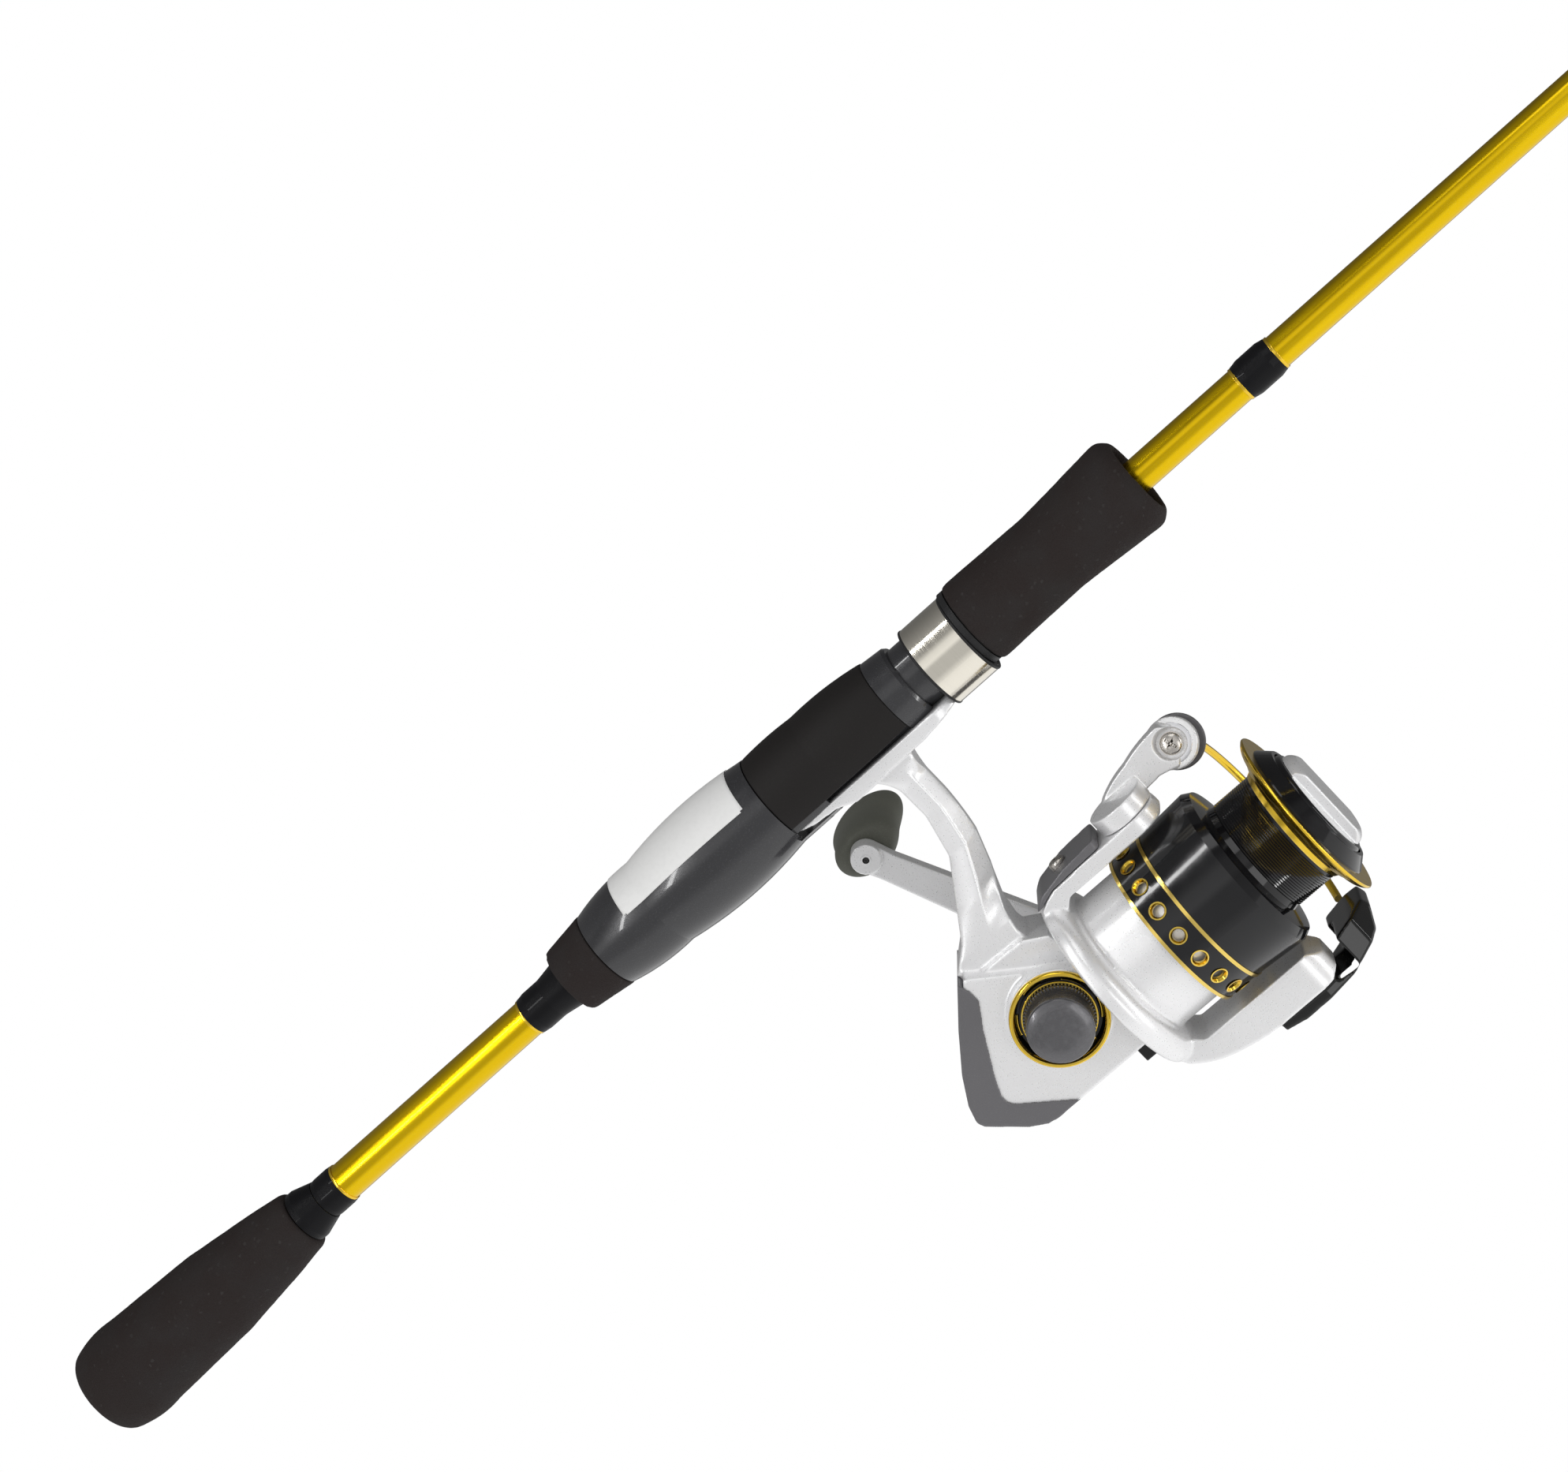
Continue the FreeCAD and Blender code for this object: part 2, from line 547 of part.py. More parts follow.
def reel_body():
    """Foot, stem, leg, hollow case and front boss in one casting, open on its left side."""
    foot_half = foot_width.value / 2
    foot_side = plate([(-30, foot_top), (-30, foot_top - 1.1), (-27, foot_top - 1.6), (-19, foot_top - 2.3),
                       (-14, foot_top - 4.4), (8, foot_top - 3.9), (19.2, foot_top - 2.6),
                       (19.2, foot_top - 1.4), (31.5, foot_top - 1.4), (31.5, foot_top)],
                      -foot_half, foot_half)
    foot_plan = plate([(-30, -5.5), (-30, 5.5), (-25, foot_half), (14, foot_half), (19.2, 5.2, 12),
                       (31.5, 4.6), (31.5, -4.6), (19.2, -5.2), (14, -foot_half, 12), (-25, -foot_half)],
                      foot_top - 8, foot_top, "XY_Plane")
    foot = common(foot_side, foot_plan)
    leg_side = plate([(4.2, foot_top - 2), (2.1, -18, -14), (2.1, -26), (0.6, -38, 90), (-2.6, -46.7),
                      (-7, -56.4), (-8, -62), (-6, -72), (-30, -72), (-26.7, -61), (-20.7, -56),
                      (-8.2, -38), (-5.7, -27), (-5.9, -18), (-10.5, foot_top - 3.4, -10)],
                     -leg_half, leg_half)
    leg = cut(leg_side, plate(rear_edge(0) + GUARD_EDGE, -guard_half, guard_half))
    stem_taper = fuse(box((-40, -leg_half, -110), (40, leg_half, -50)),
                      plate([(-4.6, -30), (-leg_half, -50), (leg_half, -50), (4.6, -30), (4.6, -12),
                             (foot_half - 1, foot_top - 1.5), (-foot_half + 1, foot_top - 1.5),
                             (-4.6, -12)], -40, 40, "YZ_Plane"))
    case = plate(case_outline(0), -case_half, cover_inner)
    shoulder = plate([(-21.7, -63.6), (-9, -63.9), (-3, -67.5), (-0.5, -72), (-0.5, -84), (-21.7, -84)],
                     -shoulder_half, shoulder_half)
    boss = turned([(-0.9, 0), (-0.9, 22.5), (1, 22.5), (6.5, 14), (6.5, 12.5), (17.4, 12.5),
                   (17.4, 0)], SHAFT_AT)
    cap_boss = rod(12.4, -17.6, -12, HANDLE_AT, "Y")
    solid = fuse(foot, common(leg, stem_taper), case, shoulder, boss, cap_boss)

    hollow = plate(case_outline(1.9), -case_half + 1.8, cover_inner + 4)
    gear_room = rod(17.1, 2.0, 7.3, HANDLE_AT, "Y")
    mouth = rod(17.1, 7.2, cover_inner + 4, HANDLE_AT, "Y")
    under_shoulder = common(mouth, plate(case_outline(1.9), 0, 20))
    front_room = common(turned([(-2, 0), (-2, 13), (1, 13), (4.7, 11), (4.7, 0)], SHAFT_AT),
                        box((-6, -10.8, -100.8), (5, 8.4, -70)))
    bearing_seat = rod(7.02, 4.6, 9.6, SHAFT_AT)
    clutch_seat = rod(11.02, 9.5, 18, SHAFT_AT)
    near_bearing = rod(8.02, -14.2, -10, HANDLE_AT, "Y")
    dish_seat = rod(11.42, -18, -14.2, HANDLE_AT, "Y")
    lever_slot = box((-8.9, -3.9, -104), (-2.6, 3.9, -99))
    body = cut(solid, hollow, gear_room, under_shoulder, front_room, bearing_seat, clutch_seat,
               near_bearing, dish_seat, lever_slot)
    lever_ears = [box((-10.6, -3.4, -101.2), (-9.0, 2.4, -98.3)),
                  box((-2.5, -3.4, -101.2), (-1.3, 2.4, -98.3))]
    lever_pin = rod(0.8, -10.2, -1.7, Vector(0, 0, -99.6))
    rail_rib = box((-6.4, -11.4, -97.9), (-3.6, 1.6, -94))
    gear_post = rod(2.0, -11.4, -4.9, Vector(OSCILLATION_PLACE, 0, shaft_height.value), "Y")
    whole = cut(fuse(body, *lever_ears, rail_rib, gear_post),
                rod(0.82, -10.3, -1.6, Vector(0, 0, -99.6)), rod(1.02, -45, -3, Vector(0, 0, -96)))
    node(whole, "reel_body")
    node(lever_pin, "lever_pin")
    node(rod(1.0, -39.0, -3.6, Vector(0, 0, -96)), "slider_rail")


def covers():
    plate_part = plate(case_outline(0, -1.0), cover_inner + 0.02, case_half)
    boss = rod(10.5, case_half - 1, 15.6, HANDLE_AT, "Y")
    cover = cut(fuse(plate_part, boss), rod(8.02, 11.9, 16, HANDLE_AT, "Y"),
                rod(5.2, 9, 12, HANDLE_AT, "Y"),
                *[rod(1.3, 9, 14, Vector(x, 0, z), "Y") for x, z in COVER_SCREWS])
    node(cover, "side_cover")
    screws = [fuse(rod(2.3, case_half + 0.02, case_half + 1.3, Vector(x, 0, z), "Y"),
                   rod(1.25, cover_inner + 0.1, case_half + 0.1, Vector(x, 0, z), "Y"))
              for x, z in COVER_SCREWS]
    node(group(*screws), "cover_screws")
    band = plate(rear_edge(0) + GUARD_EDGE, -guard_half, guard_half)
    node(cut(band, plate(case_outline(0), -case_half - 0.01, case_half + 0.01)), "rear_guard")
    dish = turned([(-17.0, 9.15), (-17.0, 9.7), (-15.4, 9.7), (-15.4, 10.3), (-17.55, 10.9),
                   (-17.55, 11.38), (-14.25, 11.38), (-14.25, 9.15)], HANDLE_AT, "Y")
    node(dish, "bearing_dish")
    node(turned([(-17.62, 10.9), (-17.62, 12.2), (-18.3, 12.2), (-18.9, 11.7, -0.8), (-18.9, 11.2),
                 (-18.3, 10.9)], HANDLE_AT, "Y"), "cap_bezel")


def bearings():
    """Ball bearings drawn as one race pair each, and the one-way clutch that stops reverse."""
    def bearing(inner, outer, start, end, at, axis):
        lip = (outer - inner) * 0.3
        return turned([(start, inner), (start, inner + lip), (start + 0.3, inner + lip),
                       (start + 0.3, outer - lip), (start, outer - lip), (start, outer), (end, outer),
                       (end, outer - lip), (end - 0.3, outer - lip), (end - 0.3, inner + lip),
                       (end, inner + lip), (end, inner)], at, axis)
    inner = axle_radius + running_fit
    node(bearing(inner, 8.0, -14.15, -10.9, HANDLE_AT, "Y"), "drive_bearing_right")
    node(bearing(inner, 8.0, 12.0, 15.4, HANDLE_AT, "Y"), "drive_bearing_left")
    node(bearing(pinion_sleeve + running_fit, 7.0, 4.9, 9.4, SHAFT_AT, "X"), "pinion_bearing")
    node(ring(11.0, pinion_sleeve + running_fit, 9.7, 17.2, SHAFT_AT), "one_way_clutch")


def anti_reverse():
    pivot = Vector(0, 0, -99.6)
    lever = fuse(rod(1.7, -8.6, -2.9, pivot), box((-8.6, -1.6, -109.8), (-2.9, 1.6, -99.6)))
    node(cut(lever, rod(0.8 + running_fit, -9, -2, pivot)), "anti_reverse_lever")


# Drive train -------------------------------------------------------------------------------------

def drive_gear():
    """A face gear on the axle; each tooth is a straight ridge along the pinion's own direction."""
    web_near, web_far = 3.95, 6.6
    outer = 16.6
    disc = turned([(web_near, axle_radius + 0.01), (web_near, outer), (web_far, outer),
                   (web_far, 12.6), (web_far - 1.2, 12), (web_far - 1.2, 7), (7.2, 6.4),
                   (7.2, axle_radius + 0.01)], HANDLE_AT, "Y")
    offset = handle_height.value - shaft_height.value
    ridges = []
    for step in range(face_gear_teeth):
        turn = Placement(HANDLE_AT, Rotation(Vector(0, 1, 0), (step + 0.5) * 360 / face_gear_teeth))
        ridges.append(box((13.7, 2.7, -offset - 0.33), (15.35, web_near + 0.1, -offset + 0.33), turn))
    node(fuse(disc, *ridges), "drive_gear")


def drive_axle():
    """The axle through the case, the small oscillation gear on it, and the bolt's plain thread."""
    stub = turned([(-14.3, 0), (-14.3, axle_radius), (15.5, axle_radius), (15.5, 0)], HANDLE_AT, "Y")
    node(stub, "drive_axle")
    pitch = gear_module * small_gear_teeth / 2
    toward = math.degrees(math.atan2(shaft_height.value - handle_height.value,
                                     OSCILLATION_PLACE - handle_place.value))
    small = toothed([(-7.2, axle_radius + 0.01), (-7.2, pitch - 0.75), (-4.4, pitch - 0.75),
                     (-4.4, axle_radius + 0.01)], pitch - 0.78, pitch + 0.55, 1.1, 0.5, -7.2, -4.4,
                    small_gear_teeth, 0, HANDLE_AT, "Y")
    small.Placement = Placement(HANDLE_AT, gear_turn(toward))
    node(small, "axle_gear")


def gear_turn(toward, extra=0.0):
    """Lay a gear along Y so that its first tooth points at an angle in the X-Z plane."""
    lay = AXIS_TURN["Y"]
    first = lay.multVec(Vector(0, 0, 1))
    wanted = Vector(math.cos(math.radians(toward + extra)), 0, math.sin(math.radians(toward + extra)))
    return Rotation(first, wanted).multiply(lay)


def oscillation():
    """The large gear with its eccentric pin, and the slider that the pin works in."""
    at = Vector(OSCILLATION_PLACE, 0, shaft_height.value)
    pitch = gear_module * large_gear_teeth / 2
    toward = math.degrees(math.atan2(handle_height.value - shaft_height.value,
                                     handle_place.value - OSCILLATION_PLACE))
    post_room = 2.0 + running_fit
    gear = toothed([(-7.2, post_room), (-7.2, pitch - 0.75), (-4.4, pitch - 0.75), (-4.4, post_room)],
                   pitch - 0.9, pitch + 0.55, 1.1, 0.5, -7.2, -4.4, large_gear_teeth, 0, at, "Y")
    gear.Placement = Placement(at, gear_turn(toward, 180 / large_gear_teeth))
    pin = rod(1.2, -4.5, -3.5, at.add(Vector(0, 0, slide_throw.value)), "Y")
    node(fuse(gear, pin), "oscillation_gear")
    block = box((-29, -3.0, -97.9), (-23.8, 2.45, -79.6))
    slot = box((-28.1, -3.1, -84.4), (-25.6, -1.9, -79.9))
    slider = cut(block, rod(shaft_radius + 0.01, -31, -23, SHAFT_AT), slot,
                 rod(1.0 + running_fit, -31, -23, Vector(0, 0, -96)))
    node(slider, "oscillation_slider")


def main_shaft():
    node(turned([(-33, 0), (-33, shaft_radius), (65.3, shaft_radius), (65.3, 0)], SHAFT_AT), "main_shaft")


def pinion():
    bore = shaft_radius + running_fit
    body = toothed([(-1.6, bore), (-1.6, 2.4), (3.8, 2.4), (3.8, pinion_sleeve), (24.6, pinion_sleeve),
                    (24.6, bore)], 2.3, 3.5, 0.95, 0.5, -1.6, 3.8, pinion_teeth, -90, SHAFT_AT, "X")
    node(body, "pinion_gear")


# Handle ------------------------------------------------------------------------------------------

def handle():
    node(turned([(-27.2, 0), (-27.2, 4.5), (-26.2, 7.9, 9.0), (-25.2, 8.25, 1.3), (-16.9, 8.6),
                 (-15.6, 8.3), (-15.6, 4.2), (-14.35, 4.2), (-14.35, 0)], HANDLE_AT, "Y"),
         "screw_cap")
    node(turned([(15.65, 0), (15.65, 6.4), (18.6, 6.4), (20.5, 4.7, -4), (38, 4.2), (41.9, 5.2),
                 (41.9, 0)], HANDLE_AT, "Y"), "handle_shank")
    lean = Placement(HANDLE_AT, Rotation(Vector(0, 1, 0), -handle_lean))
    reach = handle_reach.value
    bar = plate([(-5.6, -2), (0, -6.4, -7.4), (5.0, -3, -7.4), (3.5, reach - 6), (3.9, reach),
                 (0, reach + 4.1, -4.1), (-3.9, reach, -4.1), (-3.7, reach - 6)],
                arm_near + 1, arm_far)
    near_boss = rod(4.0, arm_near - 0.6, arm_far - 1, Vector(0, 0, reach), "Y")
    bar.Placement = lean
    near_boss.Placement = lean.multiply(near_boss.Placement)
    hub = rod(6.6, arm_near, arm_far + 1.2, Vector(), "Y")
    hub.Placement = lean.multiply(hub.Placement)
    node(fuse(bar, near_boss, hub), "handle_arm")
    pin = rod(2.0, arm_far, arm_far + 29.5, Vector(0, 0, reach), "Y")
    pin.Placement = lean.multiply(pin.Placement)
    node(pin, "knob_pin")

    centre = lean.multVec(Vector(0, 0, reach))
    near = arm_far.value + 0.4
    stations = [(0, 6.0, 5.2), (1.6, 8.2, 6.1), (7, 9.4, 6.6), (19, 10.6, 6.4), (27, 10.4, 5.9),
                (31, 7.8, 4.4)]
    rings = []
    for along, wide, tall in stations:
        loop = doc.addObject("Part::Ellipse", "Station")
        loop.MajorRadius = wide
        loop.MinorRadius = tall
        loop.Placement = Placement(centre.add(Vector(0, near + along, 0)), Rotation(Vector(1, 0, 0), 90))
        rings.append(loop)
    knob = doc.addObject("Part::Loft", "Knob")
    knob.Sections = rings
    knob.Solid = True
    node(cut(knob, rod(2.0 + running_fit, near - 1, near + 29.6, centre, "Y")), "handle_knob")


# Rotor and bail ----------------------------------------------------------------------------------

def rotor():
    cup = turned([(-1.6, 24), (-1.6, rotor_radius - 0.6), (-0.8, rotor_radius, 0.9), (1.4, rotor_radius),
                  (4.9, 21.4, 5.5), (4.9, cup_radius), (32, cup_radius), (32, cup_radius - 1.5),
                  (22, cup_radius - 1.5), (22, pinion_sleeve + 0.01), (18.2, pinion_sleeve + 0.01),
                  (18.2, cup_radius - 1.5), (5.4, cup_radius - 1.5), (2, 24)], SHAFT_AT)
    upper = plate(at_shaft([(-1.2, 24.2), (-0.2, 26, 3), (5, 28.2, 18), (14, 28.6), (36.6, 28.6),
                            (37.2, 25.4, 4), (36, arm_inside), (7, arm_inside), (4.6, 22), (1.5, 22),
                            (-1.2, 24)]), -8, 8)
    upper_trim = plate([(-4, -12), (-4, 12), (12, 8.2), (29.5, 7.8), (37.3, 0, 7.8), (29.5, -7.8, 7.8),
                        (12, -8.2)], shaft_height + 18, shaft_height + 32, "XY_Plane")
    lower = plate(at_shaft([(-1.2, -24.2), (1.5, -22), (4.6, -22), (7, -arm_inside), (38.5, -arm_inside),
                            (42, -27.4), (42, -32.4), (39.5, -34), (24, -34), (8, -31.2, 60),
                            (-0.2, -26.2, 24)]), -9, 9)
    lower_trim = plate([(-4, -12), (-4, 12), (12, 9), (36, 8.6), (42, 4.6, 8), (42, -4.6), (36, -8.6, 8),
                        (12, -9)], shaft_height - 36, shaft_height - 18, "XY_Plane")
    pivot = Vector(bail_pivot.value, 0, 0)
    posts = [rod(2.0, shaft_height + 27, shaft_height + 32.6, pivot, "Z"),
             rod(2.0, shaft_height - 36.4, shaft_height - 33, pivot, "Z")]
    arms = fuse(common(upper, upper_trim), common(lower, lower_trim), *posts)
    clear_rear = turned([(-2, 0), (-2, 23.95), (2, 23.95), (5.4, 17.95), (5.4, 0)], SHAFT_AT)
    spring_room = ring(6.1, 3.9, shaft_height + 26.2, shaft_height + 29, pivot, "Z")
    node(cut(fuse(cup, arms), clear_rear, spring_room), "rotor")
    node(ring(5.6, 3.95, shaft_height + 26.4, shaft_height + 28.4, pivot, "Z"), "bail_spring")
    node(ring(5.6, pinion_sleeve + 0.02, 22.1, 24.6, SHAFT_AT), "rotor_nut")
    cover = plate(at_shaft([(-1.4, 26.6), (2, 29.0, 14), (10, 30.7), (20.4, 31.3), (20.4, 28.75),
                            (14, 28.75), (5, 28.4), (0, 26.6)]), -7.8, 7.8)
    cover_plan = plate([(-4, -9), (-4, 9), (12, 7.9), (19.8, 7.2), (20.9, 5), (20.9, -5), (19.8, -7.2),
                        (12, -7.9)], shaft_height + 18, shaft_height + 40, "XY_Plane")
    screw_at = Vector(9, 0, 0)
    recess = rod(2.3, shaft_height + 29.9, shaft_height + 36, screw_at, "Z")
    node(cut(common(cover, cover_plan), recess), "arm_cover")
    node(turned([(29.92, 0), (29.92, 2.2), (31.2, 2.2), (31.9, 1.5, 0.9), (31.9, 0)],
                SHAFT_AT.add(screw_at), "Z"), "arm_screw")


def bail():
    """The flip lever, the roller it carries and the wire round to the far holder."""
    pivot = Vector(bail_pivot.value, 0, 0)
    tilt = Placement(Vector(roller_place.value, roller_side.value, shaft_height.value + roller_rise.value),
                     Rotation(Vector(1, 0, 0), -roller_lean))
    boss = rod(7.7, shaft_height + 28.8, shaft_height + 33.4, pivot, "Z")
    link = plate(at_shaft([(26, 28.8), (26, 33.4), (36, 36.8, 30), (48, 39, 40), (51.5, 33, 7), (46, 28),
                           (41, 29.2), (36, 28.8)]), 4.4, 8.2)
    disc = rod(6.5, 0, 3.0, Vector(), "Y", tilt)
    post_bore = rod(2.0 + running_fit, shaft_height + 28, shaft_height + 32.9, pivot, "Z")
    lever = cut(fuse(boss, link, disc), post_bore, rod(1.52, -1, 4, Vector(), "Y", tilt),
                rod(4.0, -4, 0.8, Vector(), "Y", tilt))
    node(lever, "bail_lever")
    head = rod(2.9, -0.3, 0.8, Vector(), "Y", tilt)
    shank = rod(1.5, 0.7, 10.6, Vector(), "Y", tilt)
    node(fuse(head, shank), "roller_screw")
    roller = turned([(3.2, 1.5 + running_fit), (3.2, 4.9), (4.2, 4.9), (6, 3.7, -2.4), (7.8, 4.9, -2.4),
                     (8.6, 4.9), (8.6, 1.5 + running_fit)])
    roller.Placement = tilt.multiply(Placement(Vector(), AXIS_TURN["Y"]))
    node(roller, "line_roller")
    mount = turned([(8.8, 1.52), (8.8, 7.0), (10.2, 7.0), (12, 4.6, 4), (12, 0), (10.6, 0), (10.6, 1.52)])
    mount.Placement = tilt.multiply(Placement(Vector(), AXIS_TURN["Y"]))
    node(mount, "wire_mount")

    plane_x = 49.8
    centre_y, bow = 10.2, 28.8
    end_angle = math.radians(73)

    def wire_point(angle):
        return Vector(plane_x, centre_y + bow * math.cos(angle), shaft_height.value + bow * math.sin(angle))

    path = Part.Wire([Part.Arc(wire_point(end_angle), wire_point(0), wire_point(-end_angle)).toShape()])
    start = wire_point(end_angle)
    way = Vector(0, math.sin(end_angle), -math.cos(end_angle))
    section = Part.Wire([Part.Circle(start, way, wire_radius.value).toShape()])
    wire = doc.addObject("Part::Feature", "Wire")
    wire.Shape = path.makePipeShell([section], True, True)
    node(wire, "bail_wire")

    holder_side = plate(at_shaft([(21.5, -34.3), (22.5, -36.6), (28, -37.6), (44, -37.2), (54, -34.2),
                                  (56.5, -29.4), (55.8, -26.6), (52, -26.4), (44.6, -27.8),
                                  (44.6, -34.3)]), -8, 16)
    holder_plan = plate([(21.5, -4), (22.5, -6.6, 4), (36, -7.4), (52, -2), (56.8, 6), (56.8, 15.5),
                         (45, 15.5), (38, 7.8), (22.5, 6.6), (21.5, 4, 4)],
                        shaft_height - 40, shaft_height - 20, "XY_Plane")
    holder = cut(common(holder_side, holder_plan),
                 rod(2.0 + running_fit, shaft_height - 36.8, shaft_height - 30, pivot, "Z"),
                 rod(8.4, 40, 46, Vector(0, 0, shaft_height.value - 29)))
    wire_room = doc.addObject("Part::Feature", "WireRoom")
    wide = Part.Wire([Part.Circle(start, way, wire_radius.value + 0.01).toShape()])
    wire_room.Shape = path.makePipeShell([wide], True, True)
    node(cut(holder, wire_room), "bail_holder")


# Spool -------------------------------------------------------------------------------------------

def spool():
    """Skirt, arbor and hub in one piece, with a ring of holes through the skirt's rear band."""
    wall = 1.3
    hub_bore = shaft_radius + running_fit
    band_front = skirt_rear + 8.9
    ribs = []
    rib_start, rib_pitch = 45.6, 0.62
    for index in range(17):
        place = rib_start + index * rib_pitch
        ribs.extend([(place, arbor_radius - 0.22), (place + rib_pitch / 2, arbor_radius)])
    body = turned([
        (skirt_rear, 20.4), (skirt_rear, 21.7), (band_front, 21.9), (skirt_front - 1, skirt_radius),
        (skirt_front + 1.2, skirt_radius - 1.2), (skirt_front + 1.9, arbor_radius + 0.2), *ribs,
        (lip_rear, arbor_radius), (lip_rear, 12.6), (lip_rear + 5.5, 12.6), (lip_rear + 5.5, 12.2),
        (50, 12.2), (50, hub_bore), (36, hub_bore), (36, 6), (skirt_front - 2.6, 6),
        (skirt_front - 1.4, 20.8 - wall), (skirt_front - 4, 21.2), (skirt_rear + 2, 20.4)], SHAFT_AT)
    holes = doc.addObject("Part::Compound", "Holes")
    hole_place = (skirt_rear + 4.45).value
    drills = []
    for index in range(hole_count):
        turn = Placement(SHAFT_AT, Rotation(Vector(1, 0, 0), index * 360 / hole_count))
        drills.append(rod(1.9, 19, 24, Vector(hole_place, 0, 0), "Z", turn))
        drills.append(rod(2.24, 21.3, 24, Vector(hole_place, 0, 0), "Z", turn))
    holes.Links = drills
    node(cut(body, holes), "spool")
    trims = [ring(21.98, 21.72, skirt_rear + 0.05, skirt_rear + 0.9, SHAFT_AT),
             ring(22.28, 22.0, band_front, band_front + 0.9, SHAFT_AT)]
    for index in range(hole_count):
        turn = Placement(SHAFT_AT, Rotation(Vector(1, 0, 0), index * 360 / hole_count))
        eyelet = turned([(20.6, 1.5), (20.6, 1.88), (21.6, 1.88), (22.0, 2.2), (22.0, 1.85),
                         (21.4, 1.5)])
        eyelet.Placement = turn.multiply(Placement(Vector(hole_place, 0, 0), AXIS_TURN["Z"]))
        trims.append(eyelet)
    node(group(*trims), "skirt_trim")
    lip = turned([(lip_rear + 0.02, 12.65), (lip_rear + 0.02, 15.9), (lip_rear + 1.4, 16.6),
                  (lip_rear + 2.6, 19, 4), (lip_rear + 4.2, lip_radius, 5), (lip_rear + 5, lip_radius, 0.5),
                  (lip_rear + 5, 19.2), (lip_rear + 5.4, 19), (lip_rear + 8.2, 16.4),
                  (lip_rear + 8.2, 15.4), (lip_rear + 5.6, 15.4), (lip_rear + 5.6, 12.65)], SHAFT_AT)
    node(lip, "spool_lip")
    washers = [ring(11.8, 2.2, 50.1 + index * 1.0, 50.9 + index * 1.0, SHAFT_AT) for index in range(5)]
    clip = ring(12.1, 10.4, 55.3, 56.1, SHAFT_AT)
    node(group(*washers, clip), "drag_stack")


def drag_knob():
    face = turned([(56.6, shaft_radius + running_fit), (56.6, 9.6), (62.2, 9.6), (62.2, 14.6),
                   (63, knob_radius, 1), (64.4, knob_radius), (65.6, 14.2, 1.6), (65.6, 0), (65.4, 0),
                   (65.4, shaft_radius + running_fit)], SHAFT_AT)
    crown = turned([(63, 0), (63, 13.9), (66.6, 13.4), (knob_front, 11.4, 4), (knob_front, 0)], SHAFT_AT)
    bar = common(box((60, -7.4, -108), (knob_front + 1, 7.4, -70)), crown)
    bore = rod(shaft_radius + running_fit, 56, 65.4, SHAFT_AT)
    node(cut(fuse(face, bar), bore), "drag_knob")


butt_section()
seat()
hoods()
guides()
reel_body()
covers()
bearings()
anti_reverse()
drive_gear()
drive_axle()
oscillation()
main_shaft()
pinion()
handle()
rotor()
bail()
spool()
drag_knob()

doc.recompute()
failed = [f"{thing.Name} in {', '.join(user.Label for user in thing.InList)}" for thing in doc.Objects
          if {"Invalid", "Error"} & set(thing.State)]
failed += [thing.Label for thing in nodes
           if thing.Shape.isNull() or not thing.Shape.isValid() or not thing.Shape.Solids]
if failed:
    raise RuntimeError("did not build: " + ", ".join(failed))

os.makedirs("parts", exist_ok=True)
for thing in nodes:
    thing.Shape.exportStep(f"parts/{thing.Label}.step")
    print(f"{thing.Label:22s} {len(thing.Shape.Solids):3d} solids {thing.Shape.Volume:12.2f} mm3")
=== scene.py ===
import json
import math

import bmesh
import bpy
from mathutils import Matrix, Vector, noise
from mathutils.bvhtree import BVHTree


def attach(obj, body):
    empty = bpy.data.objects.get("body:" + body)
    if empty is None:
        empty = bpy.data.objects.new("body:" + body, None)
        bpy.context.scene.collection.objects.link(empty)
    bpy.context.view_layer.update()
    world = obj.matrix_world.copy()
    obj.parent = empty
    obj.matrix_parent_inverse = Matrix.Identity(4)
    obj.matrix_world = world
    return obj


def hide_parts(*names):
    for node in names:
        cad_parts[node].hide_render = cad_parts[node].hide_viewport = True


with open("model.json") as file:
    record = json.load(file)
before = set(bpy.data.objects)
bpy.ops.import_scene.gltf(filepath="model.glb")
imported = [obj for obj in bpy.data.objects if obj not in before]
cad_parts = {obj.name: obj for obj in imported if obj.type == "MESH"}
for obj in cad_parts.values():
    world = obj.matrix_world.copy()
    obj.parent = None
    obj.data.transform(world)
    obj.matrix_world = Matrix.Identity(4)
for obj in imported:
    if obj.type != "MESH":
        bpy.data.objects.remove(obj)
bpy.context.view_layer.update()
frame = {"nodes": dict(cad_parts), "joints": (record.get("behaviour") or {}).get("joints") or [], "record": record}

NODES = frame["nodes"]
BODY_OF = {name: body for body, names in frame["record"]["behaviour"]["bodies"].items() for name in names}
SLOT_OF = {part["node"]: part["material_slot"] for part in frame["record"]["subparts"]}
JOINTS = {joint["name"]: joint for joint in frame["joints"]}
MM = 0.001
SHAFT_Z = JOINTS["rotor_spin"]["pos_m"][2]
HANDLE_X, _, HANDLE_Z = JOINTS["handle_crank"]["pos_m"]
ROLLER = Vector(JOINTS["line_roller_spin"]["pos_m"])
ROLLER_AXIS = Vector(JOINTS["line_roller_spin"]["axis"])
KNOB_AT = Vector(JOINTS["handle_knob_spin"]["pos_m"])


# How bright the surroundings are in reflections, and how that falls off away from the camera's side
ROOM_LEVEL = 0.92
ROOM_STOPS = [(0.0, 0.10), (0.27, 0.26), (0.5, 0.42), (0.68, 0.78), (0.84, 1.0), (1.0, 1.0)]

# Long dark flags beside the lens, by direction round the rod's axis: 0.5 is the camera's own direction
FLAG_STOPS = [(0.0, 1.0), (0.29, 1.0), (0.34, 0.45), (0.39, 0.45), (0.43, 1.0), (0.475, 1.0), (0.50, 0.58),
              (0.59, 0.58), (0.65, 1.0), (1.0, 1.0)]


